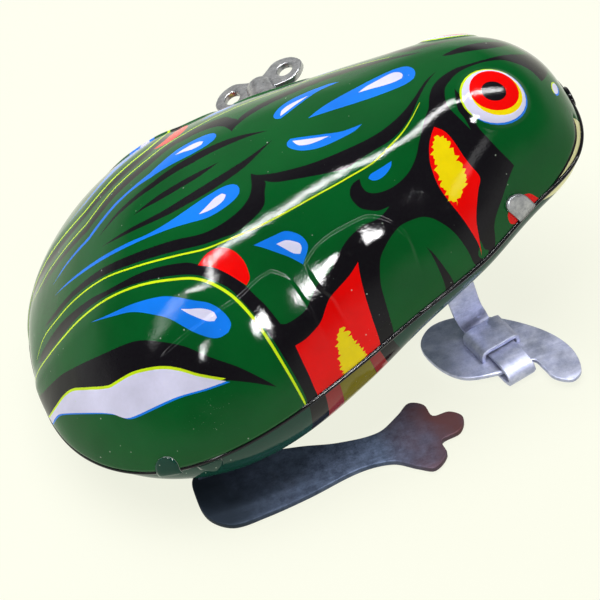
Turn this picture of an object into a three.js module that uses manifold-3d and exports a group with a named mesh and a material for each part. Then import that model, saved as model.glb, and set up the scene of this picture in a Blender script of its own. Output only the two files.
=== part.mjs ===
// Tin wind-up jumping frog: a printed tin body over a spring motor that kicks two sheet-steel rear legs.
// Millimetres. +X points to the snout, +Y to the frog's left and +Z up. The origin is on the ground,
// under the centre of the toy. The body leans back by PITCH, so its own frame has z along the seam's normal.
import * as THREE from "three";
import { mergeVertices } from "three/addons/utils/BufferGeometryUtils.js";
import Module from "manifold-3d";

const wasm = await Module();
wasm.setup();

// Body shells
const HALF_LENGTH = 36;
const PITCH = THREE.MathUtils.degToRad(14);
const SEAM_HEIGHT = 15; // the body frame's origin above the ground
const HALF_WIDTHS = [27.2, 27, 25.9, 24.1, 21.9, 19.6, 18.3, 16.6, 19.7]; // tail to snout, evenly spaced
const BACK_HEIGHTS = [9.5, 13.7, 16.1, 17, 17, 16.5, 16.7, 19.6, 20.7]; // the same stations
const TIN = 0.5;
const BELLY_DEPTHS = [3, 5, 6.6, 6.8, 5.8, 4.2, 3.2, 3.2, 3.6]; // the same stations
const BELLY_INSET = 0.4;
const GAP = 0.3; // between pieces that touch or turn on each other

// Motor, in the body frame
const FRAME_HALF_WIDTH = 8;
const FRAME_THICKNESS = 0.8;
const WINDING_SHAFT = { x: 4, z: 3.4, radius: 1.2 };
const GEAR_MODULE = 0.4;
const GREAT_TEETH = 36;
const PINION_TEETH = 9;
const KICK_SHAFT_ANGLE = THREE.MathUtils.degToRad(169); // seen from the winding shaft
const KICK_SHAFT_RADIUS = 0.6;
const KICK_WHEEL_RADIUS = 4;
const KICK_WHEEL_TEETH = 4;
const RATCHET_TEETH = 12;
const RATCHET_TIP = 3.4;
const RATCHET_ROOT = 2.5;
const PAWL_PIVOT = { radius: 5, angle: THREE.MathUtils.degToRad(92) };
const LEG_AXLE = { x: -18.1, z: -0.1, radius: 0.8 };
const POST_RADIUS = 0.9;
const SPRING_POST = { x: 12.4, z: 6 };
const PILLARS = { rear: { x: -14, z: 4.4 }, front: { x: 12, z: -2.2 } };

// Legs
const REAR_SHEET = 0.8;
const EAR_OUT = 17; // the rear legs' upright ears, from the middle
const FRONT_STRIP = { width: 3.7, thickness: 0.5 };
const FRONT_PLATE = { low: 0.8, thickness: 0.6 };

const gearDistance = ((GREAT_TEETH + PINION_TEETH) * GEAR_MODULE) / 2;
const KICK_SHAFT = {
  x: WINDING_SHAFT.x + gearDistance * Math.cos(KICK_SHAFT_ANGLE),
  z: WINDING_SHAFT.z + gearDistance * Math.sin(KICK_SHAFT_ANGLE),
};

const metal = (color, roughness, metalness) => new THREE.MeshStandardMaterial({ color, roughness, metalness });
const FINISH = {
  lacquer: () => metal(0x08622d, 0.18, 0.3),
  darkSteel: () => metal(0x3a4a5e, 0.38, 0.9),
  lightSteel: () => metal(0x9aa0b4, 0.32, 0.9),
  zinc: () => metal(0xa9adb3, 0.35, 0.9),
  brass: () => metal(0xc39a45, 0.32, 0.95),
  springSteel: () => metal(0x5b6470, 0.3, 0.95),
};

// Solids

function indexed(geometry) {
  const copy = geometry.clone();
  copy.deleteAttribute("normal");
  copy.deleteAttribute("uv");
  return mergeVertices(copy, 1e-4);
}

function toSolid(geometry) {
  const mesh = indexed(geometry);
  return new wasm.Manifold(
    new wasm.Mesh({
      numProp: 3,
      vertProperties: new Float32Array(mesh.attributes.position.array),
      triVerts: new Uint32Array(mesh.index.array),
    }),
  );
}

function toGeometry(solid) {
  const mesh = solid.getMesh();
  const geometry = new THREE.BufferGeometry();
  geometry.setAttribute("position", new THREE.BufferAttribute(new Float32Array(mesh.vertProperties), 3));
  geometry.setIndex(new THREE.BufferAttribute(new Uint32Array(mesh.triVerts), 1));
  return geometry;
}

function cut(base, ...tools) {
  return toGeometry(tools.reduce((solid, tool) => solid.subtract(toSolid(tool)), toSolid(base)));
}

function join(base, ...others) {
  return toGeometry(others.reduce((solid, other) => solid.add(toSolid(other)), toSolid(base)));
}

function flipFaces(geometry) {
  const index = geometry.index.array;
  for (let i = 0; i < index.length; i += 3) [index[i], index[i + 1]] = [index[i + 1], index[i]];
  return geometry;
}

// A geometry made for the frog's left side, or its mirror image for the right side.
function onSide(geometry, side) {
  if (side > 0) return geometry;
  return flipFaces(indexed(geometry).scale(1, -1, 1));
}

function rodAlongY(x, z, radius, fromY, toY, segments = 24) {
  const rod = new THREE.CylinderGeometry(radius, radius, toY - fromY, segments);
  return rod.translate(x, (fromY + toY) / 2, z);
}

function box(low, high) {
  const size = high.map((value, axis) => value - low[axis]);
  const middle = high.map((value, axis) => (value + low[axis]) / 2);
  return new THREE.BoxGeometry(...size).translate(...middle);
}

// A flat piece whose outline is drawn in x and z, standing from fromY to toY.
function uprightPlate(shape, fromY, toY) {
  const plate = new THREE.ExtrudeGeometry(shape, { depth: toY - fromY, bevelEnabled: false, curveSegments: 8 });
  return plate.rotateX(Math.PI / 2).translate(0, toY, 0);
}

// A flat piece whose outline is drawn in x and y, lying from fromZ to toZ.
function lyingPlate(shape, fromZ, toZ) {
  const plate = new THREE.ExtrudeGeometry(shape, { depth: toZ - fromZ, bevelEnabled: false, curveSegments: 8 });
  return plate.translate(0, 0, fromZ);
}

function polygon(points) {
  return new THREE.Shape(points.map(([x, y]) => new THREE.Vector2(x, y)));
}

function smoothOutline(points, divisions) {
  const curve = new THREE.SplineCurve(points.map(([x, y]) => new THREE.Vector2(x, y)));
  const loop = [...points.slice(-2), ...points, ...points.slice(0, 3)];
  curve.points = loop.map(([x, y]) => new THREE.Vector2(x, y));
  const spans = loop.length - 1;
  const outline = [];
  for (let i = 0; i < points.length * divisions; i += 1) {
    outline.push(curve.getPoint((2 + i / divisions) / spans));
  }
  return new THREE.Shape(outline);
}

function circlePoints(x, y, radius, count) {
  return Array.from({ length: count }, (_, i) => {
    const angle = (2 * Math.PI * i) / count;
    return new THREE.Vector2(x + radius * Math.cos(angle), y + radius * Math.sin(angle));
  });
}

function addHole(shape, x, y, radius) {
  shape.holes.push(new THREE.Path(circlePoints(x, y, radius, 16)));
  return shape;
}

function polar(centre, radius, angle) {
  return [centre.x + radius * Math.cos(angle), centre.z + radius * Math.sin(angle)];
}

function outlineAround(centre, corners) {
  return polygon(corners.map(([radius, angle]) => polar(centre, radius, angle)));
}

// The two shells

function alongBody(values, c) {
  const last = values.length - 1;
  const place = THREE.MathUtils.clamp((c + 1) / 2, 0, 1) * last;
  const i = Math.min(Math.floor(place), last - 1);
  const before = i > 0 ? values[i - 1] : 2 * values[0] - values[1];
  const after = i + 2 <= last ? values[i + 2] : 2 * values[last] - values[last - 1];
  const [a, b, f] = [values[i], values[i + 1], place - i];
  const linear = (b - before) * f;
  const square = (2 * before - 5 * a + 4 * b - after) * f * f;
  const cube = (3 * a - before - 3 * b + after) * f ** 3;
  return 0.5 * (2 * a + linear + square + cube);
}

const superCos = (angle) => Math.sign(Math.cos(angle)) * Math.abs(Math.cos(angle)) ** 0.8;
const superSin = (angle) => Math.sign(Math.sin(angle)) * Math.abs(Math.sin(angle)) ** 0.8;

function planPoint(spread, angle, inset) {
  const c = spread * superCos(angle);
  const x = (HALF_LENGTH - inset) * c;
  const y = (alongBody(HALF_WIDTHS, c) - inset) * spread * superSin(angle);
  return { c, x, y };
}

function topPoint(level, angle, inset) {
  const spread = Math.sin((level * Math.PI) / 2);
  const { c, x, y } = planPoint(spread, angle, inset);
  if (level === 1) return [x, y, 0];
  const chord = (1 - Math.abs(c) ** 2.5) ** 0.4;
  const across = Math.min(1, Math.abs(spread * superSin(angle)) / chord);
  const ridge = (alongBody(BACK_HEIGHTS, c) - inset) * (1 - Math.abs(c) ** 2.1) ** (1 / 2.1);
  return [x, y, ridge * (1 - across ** 2.2) ** (1 / 1.3)];
}

function bellyPoint(level, angle, inset) {
  const spread = Math.sin((level * Math.PI) / 2);
  const { c, x, y } = planPoint(spread, angle, BELLY_INSET + inset);
  return [x, y, -GAP - (alongBody(BELLY_DEPTHS, c) - inset) * Math.sqrt(1 - spread ** 20)];
}

// A sheet pressed to a bowl: the same surface twice, one sheet thickness apart, closed round the open rim.
function pressedSheet(surface, rings, segments) {
  const positions = [];
  for (const inset of [0, TIN]) {
    positions.push(...surface(0, 0, inset));
    for (let ring = 1; ring <= rings; ring += 1) {
      for (let i = 0; i < segments; i += 1) {
        positions.push(...surface(ring / rings, (2 * Math.PI * (i + 0.5)) / segments, inset));
      }
    }
  }
  const sheetSize = 1 + rings * segments;
  const at = (sheet, ring, i) => sheet * sheetSize + 1 + (ring - 1) * segments + (i % segments);
  const index = [];
  const quad = (a, b, c, d) => index.push(a, b, c, a, c, d);
  for (let i = 0; i < segments; i += 1) {
    index.push(0, at(0, 1, i), at(0, 1, i + 1));
    index.push(sheetSize, at(1, 1, i + 1), at(1, 1, i));
    for (let ring = 1; ring < rings; ring += 1) {
      quad(at(0, ring, i), at(0, ring + 1, i), at(0, ring + 1, i + 1), at(0, ring, i + 1));
      quad(at(1, ring, i), at(1, ring, i + 1), at(1, ring + 1, i + 1), at(1, ring + 1, i));
    }
    quad(at(0, rings, i), at(1, rings, i), at(1, rings, i + 1), at(0, rings, i + 1));
  }
  const geometry = new THREE.BufferGeometry();
  geometry.setAttribute("position", new THREE.Float32BufferAttribute(positions, 3));
  geometry.setIndex(index);
  return geometry;
}

function topShell() {
  const shell = pressedSheet(topPoint, 12, 48);
  const shaftHole = rodAlongY(WINDING_SHAFT.x, WINDING_SHAFT.z, WINDING_SHAFT.radius + 0.4, 10, 30, 20);
  return cut(shell, shaftHole);
}

// A tab of the belly shell, folded up outside the top shell's edge at one place along the seam.
function seamTab(angle) {
  const { x, y } = planPoint(1, angle, 0);
  const ahead = planPoint(1, angle + 0.01, 0);
  const direction = Math.atan2(ahead.y - y, ahead.x - x);
  const upright = box([-1.4, -GAP - TIN - 0.1, -1.8], [1.4, -GAP - 0.1, 1.6]);
  const root = box([-1.4, -GAP - TIN, -1.8], [1.4, BELLY_INSET + TIN + 0.3, -1.3]);
  return join(upright, root).rotateZ(direction).translate(x, y, 0);
}

function bellyShell() {
  const tray = flipFaces(pressedSheet(bellyPoint, 10, 48));
  const tabAngles = [0, 53, 118, 127, -53, -118, -127].map(THREE.MathUtils.degToRad);
  const earSlots = [-1, 1].map((side) => {
    const [near, far] = [side * (EAR_OUT - 0.5), side * (EAR_OUT + REAR_SHEET + 0.5)];
    return box([-25.5, Math.min(near, far), -8], [-13, Math.max(near, far), -0.5]);
  });
  return cut(join(tray, ...tabAngles.map(seamTab)), ...earSlots);
}

// The motor

function framePlate(side) {
  const outline = [
    [-20.4, -5.6],
    [-20.4, 2],
    [-12, 8.5],
    [-4, 12.6],
    [9, 12.6],
    [15, 9.5],
    [15, -2.7],
    [9, -3.6],
    [0, -5.2],
  ];
  const shape = polygon(outline);
  addHole(shape, LEG_AXLE.x, LEG_AXLE.z, LEG_AXLE.radius + GAP);
  addHole(shape, KICK_SHAFT.x, KICK_SHAFT.z, KICK_SHAFT_RADIUS + GAP);
  addHole(shape, WINDING_SHAFT.x, WINDING_SHAFT.z, WINDING_SHAFT.radius + GAP);
  return onSide(uprightPlate(shape, FRAME_HALF_WIDTH, FRAME_HALF_WIDTH + FRAME_THICKNESS), side);
}

function framePost({ x, z }) {
  return rodAlongY(x, z, POST_RADIUS, GAP - FRAME_HALF_WIDTH, FRAME_HALF_WIDTH - GAP, 16);
}

// Gear teeth as slim trapezoids, with one tooth centred on firstAngle.
function gear(centre, teeth, bore, firstAngle, rootShare, tipShare, fromY, toY) {
  const pitchRadius = (teeth * GEAR_MODULE) / 2;
  const root = pitchRadius - 1.15 * GEAR_MODULE;
  const tip = pitchRadius + 0.85 * GEAR_MODULE;
  const step = (2 * Math.PI) / teeth;
  const corners = [];
  for (let tooth = 0; tooth < teeth; tooth += 1) {
    const angle = firstAngle + tooth * step;
    corners.push([root, angle - rootShare * step], [tip, angle - tipShare * step]);
    corners.push([tip, angle + tipShare * step], [root, angle + rootShare * step]);
  }
  return uprightPlate(addHole(outlineAround(centre, corners), centre.x, centre.z, bore), fromY, toY);
}

// A wheel of saw teeth: each tooth rises along its angle and then drops at once.
function sawWheel(centre, teeth, tip, root, bore, firstAngle, rise, fromY, toY) {
  const step = (2 * Math.PI) / teeth;
  const parts = 6;
  const corners = [];
  for (let tooth = 0; tooth < teeth; tooth += 1) {
    for (let i = 0; i <= parts; i += 1) {
      const share = i / parts;
      corners.push([root + (tip - root) * share ** rise, firstAngle + (tooth + share * 0.97) * step]);
    }
  }
  return uprightPlate(addHole(outlineAround(centre, corners), centre.x, centre.z, bore), fromY, toY);
}

function mainspring() {
  const turns = 5;
  const innerRadius = 2.2;
  const outerRadius = 7.35;
  const halfBand = 0.18;
  const steps = turns * 18;
  const end = Math.atan2(SPRING_POST.z - WINDING_SHAFT.z, SPRING_POST.x - WINDING_SHAFT.x);
  const side = (offset) =>
    Array.from({ length: steps + 1 }, (_, i) => {
      const share = i / steps;
      const radius = innerRadius + (outerRadius - innerRadius) * share + offset;
      return polar(WINDING_SHAFT, radius, end - (1 - share) * turns * 2 * Math.PI);
    });
  return uprightPlate(polygon([...side(halfBand), ...side(-halfBand).reverse()]), -7, -1.4);
}

function clickPawl() {
  const nose = [
    [6.1, 98],
    [6.1, 87],
    [5.4, 78],
    [4.9, 62],
    [4.4, 47],
    [2.95, 46],
    [3, 49],
    [3.85, 58],
    [3.9, 80],
    [4.2, 98],
    [5, 104],
  ];
  const corners = nose.map(([radius, degrees]) => [radius, THREE.MathUtils.degToRad(degrees)]);
  const shape = outlineAround(WINDING_SHAFT, corners);
  addHole(shape, ...polar(WINDING_SHAFT, PAWL_PIVOT.radius, PAWL_PIVOT.angle), 0.65);
  return uprightPlate(shape, 3.1, 4.1);
}

function clickSpring() {
  const arc = (radius) =>
    [140, 125, 110, 95, 80, 66].map((degrees) => [radius, THREE.MathUtils.degToRad(degrees)]);
  return uprightPlate(outlineAround(WINDING_SHAFT, [...arc(7.2), ...arc(6.9).reverse()]), 3.1, 4.1);
}

function windingShaft() {
  return rodAlongY(WINDING_SHAFT.x, WINDING_SHAFT.z, WINDING_SHAFT.radius, -9.4, 23, 20);
}

// The key: a sleeve with two round wings in one plane through the shaft, lying flat at rest.
function windingKey() {
  const [start, wingStart, end] = [21.1, 22.5, 27];
  const [sleeveEnd, boreEnd] = [24.6, 23.3];
  const hollow = rodAlongY(0, 0, WINDING_SHAFT.radius + GAP, start - 1, boreEnd, 20);
  const sleeve = rodAlongY(0, 0, 1.9, start, sleeveEnd, 20);
  const wing = (side) => [
    [0, wingStart + 0.9],
    [side * 2.2, wingStart + 0.25],
    [side * 4.6, wingStart + 0.2],
    [side * 6.2, wingStart + 2.1],
    [side * 5.2, end - 0.6],
    [side * 3, end],
    [side * 1.1, end - 1.1],
    [0, end - 1.5],
  ];
  const outline = [...wing(1), ...wing(-1).reverse().slice(1, -1)];
  const shape = smoothOutline(outline, 4);
  for (const side of [-1, 1]) addHole(shape, side * 3.8, (wingStart + end) / 2, 1.05);
  const wings = lyingPlate(shape, -0.5, 0.5);
  return cut(join(sleeve, wings), hollow).translate(WINDING_SHAFT.x, 0, WINDING_SHAFT.z);
}

// The kick yoke: a bar between the rear legs' ears, and a lever under the kick wheel, turning on the leg axle.
function kickYoke() {
  const reach = EAR_OUT - GAP;
  const bar = box([LEG_AXLE.x - 4.2, -reach, LEG_AXLE.z - 1.4], [LEG_AXLE.x - 3.4, reach, LEG_AXLE.z + 1.6]);
  const lever = polygon([
    [LEG_AXLE.x - 3.6, -1.3],
    [LEG_AXLE.x, -2.2],
    [LEG_AXLE.x + 2.2, -1.4],
    [-14.5, -0.5],
    [-7.6, -0.5],
    [-7.6, 1.7],
    [-8.6, 1.7],
    [-9.2, 0.7],
    [-14.5, 0.8],
    [LEG_AXLE.x + 2, 1.4],
    [LEG_AXLE.x, 2],
    [LEG_AXLE.x - 3.6, 1.3],
  ]);
  const arm = uprightPlate(addHole(lever, LEG_AXLE.x, LEG_AXLE.z, LEG_AXLE.radius + GAP), -0.8, 0.8);
  return join(bar, arm);
}

// The torsion spring's coil, wound round the leg axle. Its two arms are left out.
class CoilCurve extends THREE.Curve {
  constructor(turns, radius, fromY, toY) {
    super();
    Object.assign(this, { turns, radius, fromY, toY });
  }

  getPoint(share, target = new THREE.Vector3()) {
    const angle = share * this.turns * 2 * Math.PI;
    const y = this.fromY + (this.toY - this.fromY) * share;
    const x = LEG_AXLE.x + this.radius * Math.cos(angle);
    return target.set(x, y, LEG_AXLE.z + this.radius * Math.sin(angle));
  }
}

function legReturnSpring() {
  const wire = 0.25;
  const section = new THREE.Shape(circlePoints(0, 0, wire, 6));
  const coil = new CoilCurve(5, 1.6, 10.2, 14);
  return new THREE.ExtrudeGeometry(section, { extrudePath: coil, steps: 60, bevelEnabled: false });
}

// Rear legs, in the ground's frame

function toGround({ x, z }) {
  const [cosine, sine] = [Math.cos(PITCH), Math.sin(PITCH)];
  return { x: x * cosine - z * sine, z: x * sine + z * cosine + SEAM_HEIGHT };
}

// The foot plate is a flat bone shape: a round heel, a waisted shank and a foot of three round toes.
function rearLeg(side) {
  const outline = [
    [-12.9, 17.1],
    [-8, 18.2],
    [-3.5, 19.6],
    [1.2, 20.1],
    [4.2, 18.6],
    [6, 17.4],
    [7.6, 18.4],
    [8, 20.4],
    [10, 20.6],
    [11.2, 22],
    [10.2, 23.8],
    [7.7, 24.4],
    [7.6, 26.4],
    [5.6, 27.8],
    [3.9, 26.8],
    [1.4, 24.9],
    [-2.5, 24.4],
    [-9, 25.5],
    [-14.5, 26.1],
    [-18.4, 26],
    [-20.8, 23.8],
    [-21.4, 20.4],
    [-20.9, 17.4],
    [-17, 17],
  ];
  const foot = lyingPlate(smoothOutline(outline, 3), 0, REAR_SHEET);
  const pivot = toGround(LEG_AXLE);
  const ear = new THREE.Shape();
  ear.moveTo(-20.8, 0.1);
  ear.lineTo(-13.4, 0.1);
  ear.lineTo(-13.6, 1.6);
  ear.lineTo(pivot.x + 2.6, pivot.z);
  ear.absarc(pivot.x, pivot.z, 2.6, 0, Math.PI, false);
  ear.lineTo(-20.6, 1.6);
  addHole(ear, pivot.x, pivot.z, LEG_AXLE.radius + GAP);
  return onSide(join(foot, uprightPlate(ear, EAR_OUT, EAR_OUT + REAR_SHEET)), side);
}

// Front legs, in the ground's frame

// A flat strip swept through stations of middle point, direction across the strip and width.
function bentStrip(stations, thickness) {
  const points = stations.map(({ at }) => new THREE.Vector3(...at));
  const positions = [];
  stations.forEach(({ across, width }, i) => {
    const before = points[Math.max(i - 1, 0)];
    const after = points[Math.min(i + 1, points.length - 1)];
    const along = after.clone().sub(before).normalize();
    const sideways = new THREE.Vector3(...across).normalize();
    const normal = along.clone().cross(sideways).normalize();
    for (const [u, v] of [
      [-1, -1],
      [1, -1],
      [1, 1],
      [-1, 1],
    ]) {
      const corner = points[i].clone().addScaledVector(sideways, (u * width) / 2);
      positions.push(...corner.addScaledVector(normal, (v * thickness) / 2).toArray());
    }
  });
  const index = [0, 1, 2, 0, 2, 3];
  for (let i = 0; i < stations.length - 1; i += 1) {
    for (let k = 0; k < 4; k += 1) {
      const [a, b] = [4 * i + k, 4 * i + ((k + 1) % 4)];
      index.push(a, a + 4, b, b, a + 4, b + 4);
    }
  }
  const last = 4 * (stations.length - 1);
  index.push(last, last + 2, last + 1, last, last + 3, last + 2);
  const geometry = new THREE.BufferGeometry();
  geometry.setAttribute("position", new THREE.Float32BufferAttribute(positions, 3));
  geometry.setIndex(index);
  const solid = toSolid(geometry);
  return solid.volume() > 0 ? geometry : flipFaces(geometry);
}

const BELLY_ACROSS = [Math.cos(PITCH), 0, Math.sin(PITCH)];
const SOLE_ACROSS = [0.97, -0.24, 0];
const FRONT_LEG_X = 14; // where the strip leaves the belly
const bellyUnderFrontLeg = -GAP - alongBody(BELLY_DEPTHS, (FRONT_LEG_X - FRONT_STRIP.width / 2) / HALF_LENGTH);
const flangeLevel = toGround({ x: FRONT_LEG_X, z: bellyUnderFrontLeg - GAP - FRONT_STRIP.thickness / 2 });
const stripTop = FRONT_PLATE.low + FRONT_PLATE.thickness + GAP + FRONT_STRIP.thickness / 2;
const stripUnder = FRONT_STRIP.thickness / 2;

function frontLeg(side) {
  const { width, thickness } = FRONT_STRIP;
  const belly = flangeLevel.z;
  const stations = [
    { at: [flangeLevel.x, 3, belly], across: BELLY_ACROSS },
    { at: [flangeLevel.x, 8.2, belly], across: BELLY_ACROSS },
    { at: [flangeLevel.x + 0.2, 8.9, belly - 0.3], across: BELLY_ACROSS },
    { at: [flangeLevel.x + 0.5, 9.2, belly - 1], across: BELLY_ACROSS },
    { at: [16.8, 10.5, 4.4], across: [0.98, -0.16, 0.08] },
    { at: [17.35, 10.4, stripTop + 0.7], across: SOLE_ACROSS },
    { at: [17.5, 10.65, stripTop + 0.2], across: SOLE_ACROSS },
    { at: [17.7, 11.1, stripTop], across: SOLE_ACROSS },
    { at: [19.6, 18.6, stripTop], across: SOLE_ACROSS },
    { at: [19.72, 19.1, stripTop - 0.2], across: SOLE_ACROSS },
    { at: [19.8, 19.4, (stripTop + stripUnder) / 2], across: SOLE_ACROSS },
    { at: [19.72, 19.1, stripUnder + 0.2], across: SOLE_ACROSS },
    { at: [19.6, 18.6, stripUnder], across: SOLE_ACROSS },
    { at: [18.8, 15.4, stripUnder], across: SOLE_ACROSS },
  ];
  const strip = bentStrip(
    stations.map((station) => ({ ...station, width })),
    thickness,
  );
  return onSide(strip, side);
}

// The oval foot plate, with a bridge lanced up out of it that the strip passes under.
function frontFoot(side) {
  const outline = [
    [10.3, 10],
    [11, 14],
    [13.2, 17],
    [16.6, 18],
    [19.4, 18.1],
    [21.8, 17.9],
    [22.4, 19.4],
    [23, 21.4],
    [24.8, 22.7],
    [26.3, 21.8],
    [26.7, 18.6],
    [25.5, 15.2],
    [23, 12],
    [19.8, 9.3],
    [16, 7.5],
    [12.4, 7.6],
  ];
  const top = FRONT_PLATE.low + FRONT_PLATE.thickness;
  const plate = lyingPlate(smoothOutline(outline, 3), FRONT_PLATE.low, top);
  const inner = FRONT_STRIP.width / 2 + GAP;
  const outer = inner + FRONT_PLATE.thickness;
  const roofLow = top + GAP + FRONT_STRIP.thickness + GAP;
  const roof = polygon([
    [-outer, top - 0.1],
    [-inner, top - 0.1],
    [-inner, roofLow],
    [inner, roofLow],
    [inner, top - 0.1],
    [outer, top - 0.1],
    [outer, roofLow + 0.2],
    [outer - 0.4, roofLow + 0.6],
    [0.4 - outer, roofLow + 0.6],
    [-outer, roofLow + 0.2],
  ]);
  const bridge = uprightPlate(roof, -2.1, 2.1).rotateZ(-Math.atan2(0.24, 0.97)).translate(18.3, 13.3, 0);
  return onSide(join(plate, bridge), side);
}

// A round-headed rivet under the belly, just below the strip that it holds.
function frontRivet(side) {
  const head = new THREE.LatheGeometry(
    [
      [0, 0],
      [1.3, 0],
      [1.2, -0.35],
      [0.7, -0.65],
      [0, -0.75],
    ]
      .reverse()
      .map(([radius, height]) => new THREE.Vector2(radius, height)),
    16,
  );
  const below = bellyUnderFrontLeg - 2 * GAP - FRONT_STRIP.thickness;
  head.rotateX(Math.PI / 2).translate(FRONT_LEG_X, side * 5, below);
  return head;
}

// Assembly

const frog = new THREE.Group();
const body = new THREE.Group();
body.rotation.y = -PITCH;
body.position.z = SEAM_HEIGHT;
frog.add(body);

function place(group, name, geometry, finish) {
  const mesh = new THREE.Mesh(geometry, finish());
  mesh.name = name;
  group.add(mesh);
}

place(body, "top_shell", topShell(), FINISH.lacquer);
place(body, "belly_shell", bellyShell(), FINISH.lacquer);
place(body, "frame_pillar_rear", framePost(PILLARS.rear), FINISH.zinc);
place(body, "frame_pillar_front", framePost(PILLARS.front), FINISH.zinc);
place(body, "spring_post", framePost(SPRING_POST), FINISH.zinc);
place(body, "winding_shaft", windingShaft(), FINISH.zinc);
place(body, "winding_key", windingKey(), FINISH.zinc);
place(body, "mainspring", mainspring(), FINISH.springSteel);
place(body, "click_pawl", clickPawl(), FINISH.springSteel);
place(body, "click_spring", clickSpring(), FINISH.springSteel);
place(body, "kick_yoke", kickYoke(), FINISH.zinc);
place(body, "leg_return_spring", legReturnSpring(), FINISH.springSteel);

const [pivotX, pivotZ] = polar(WINDING_SHAFT, PAWL_PIVOT.radius, PAWL_PIVOT.angle);
place(body, "click_rivet", rodAlongY(pivotX, pivotZ, 0.35, 2.9, 4.5, 12), FINISH.zinc);

const axleReach = EAR_OUT + REAR_SHEET + 0.8;
const legAxle = rodAlongY(LEG_AXLE.x, LEG_AXLE.z, LEG_AXLE.radius, -axleReach, axleReach, 16);
place(body, "leg_axle", legAxle, FINISH.zinc);

const shaftReach = FRAME_HALF_WIDTH + FRAME_THICKNESS + 0.6;
const kickShaft = rodAlongY(KICK_SHAFT.x, KICK_SHAFT.z, KICK_SHAFT_RADIUS, -shaftReach, shaftReach, 16);
place(body, "kick_shaft", kickShaft, FINISH.zinc);

const wheelBore = WINDING_SHAFT.radius + GAP;
const greatWheel = gear(WINDING_SHAFT, GREAT_TEETH, wheelBore, KICK_SHAFT_ANGLE, 0.26, 0.1, 1.5, 2.6);
place(body, "great_wheel", greatWheel, FINISH.brass);

const pinionStart = KICK_SHAFT_ANGLE - Math.PI + Math.PI / PINION_TEETH;
const kickBore = KICK_SHAFT_RADIUS + GAP;
const kickPinion = gear(KICK_SHAFT, PINION_TEETH, kickBore, pinionStart, 0.26, 0.08, 1.3, 2.8);
place(body, "kick_pinion", kickPinion, FINISH.brass);

const faceAngle = THREE.MathUtils.degToRad(39);
const ratchet = sawWheel(WINDING_SHAFT, RATCHET_TEETH, RATCHET_TIP, RATCHET_ROOT, wheelBore, faceAngle, 1, 3.1, 4.1);
place(body, "ratchet_wheel", ratchet, FINISH.zinc);

const kickWheel = sawWheel(KICK_SHAFT, KICK_WHEEL_TEETH, KICK_WHEEL_RADIUS, 1.8, kickBore, 0.3, 1.5, -0.9, 0.9);
place(body, "kick_wheel", kickWheel, FINISH.zinc);

for (const [name, side] of [
  ["left", 1],
  ["right", -1],
]) {
  place(body, `frame_plate_${name}`, framePlate(side), FINISH.zinc);
  place(body, `front_leg_rivet_${name}`, frontRivet(side), FINISH.lightSteel);
  place(frog, `rear_leg_${name}`, rearLeg(side), FINISH.darkSteel);
  place(frog, `front_leg_${name}`, frontLeg(side), FINISH.lightSteel);
  place(frog, `front_foot_${name}`, frontFoot(side), FINISH.lightSteel);
}

// Centre the toy over the origin, with its feet on the ground.
frog.updateMatrixWorld(true);
const bounds = new THREE.Box3().setFromObject(frog, true);
const middle = bounds.getCenter(new THREE.Vector3());
frog.position.set(-middle.x, -middle.y, -bounds.min.z);

export default frog;
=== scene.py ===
# Tin wind-up jumping frog: printed tin shells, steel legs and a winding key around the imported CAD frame.
# Shapes are drawn in millimetres in the CAD's own frames and placed in metres. The print is drawn in percent
# of the shell's plan: a runs from -100 at the tail to 100 at the snout, b from -100 at the right to 100.
import math

import bpy
import numpy as np
from mathutils import Matrix, Vector, kdtree
from mathutils.geometry import delaunay_2d_cdt, tessellate_polygon


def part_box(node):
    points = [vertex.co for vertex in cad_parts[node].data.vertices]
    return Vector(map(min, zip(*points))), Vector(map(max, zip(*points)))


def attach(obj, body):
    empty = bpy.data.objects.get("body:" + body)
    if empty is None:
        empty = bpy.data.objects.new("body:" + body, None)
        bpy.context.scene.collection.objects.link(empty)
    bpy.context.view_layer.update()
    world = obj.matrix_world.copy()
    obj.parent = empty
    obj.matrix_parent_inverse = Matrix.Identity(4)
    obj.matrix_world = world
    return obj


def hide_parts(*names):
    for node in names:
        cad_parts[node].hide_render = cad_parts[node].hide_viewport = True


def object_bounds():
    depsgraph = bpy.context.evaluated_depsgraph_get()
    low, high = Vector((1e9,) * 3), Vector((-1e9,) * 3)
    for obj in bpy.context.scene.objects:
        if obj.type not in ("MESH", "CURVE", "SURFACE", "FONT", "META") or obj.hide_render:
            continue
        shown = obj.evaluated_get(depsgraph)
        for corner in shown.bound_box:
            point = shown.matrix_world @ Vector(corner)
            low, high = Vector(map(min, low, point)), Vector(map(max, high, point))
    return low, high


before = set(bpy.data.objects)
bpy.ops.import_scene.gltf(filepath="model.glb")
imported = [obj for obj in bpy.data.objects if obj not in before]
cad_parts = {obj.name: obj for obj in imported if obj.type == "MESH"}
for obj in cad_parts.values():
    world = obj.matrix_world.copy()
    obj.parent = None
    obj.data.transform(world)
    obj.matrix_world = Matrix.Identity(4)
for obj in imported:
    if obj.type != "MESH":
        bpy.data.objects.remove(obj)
cad_box = [list(corner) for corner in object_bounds()]

MM = 0.001
PITCH = math.radians(14)
HALF_LENGTH = 36
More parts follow.
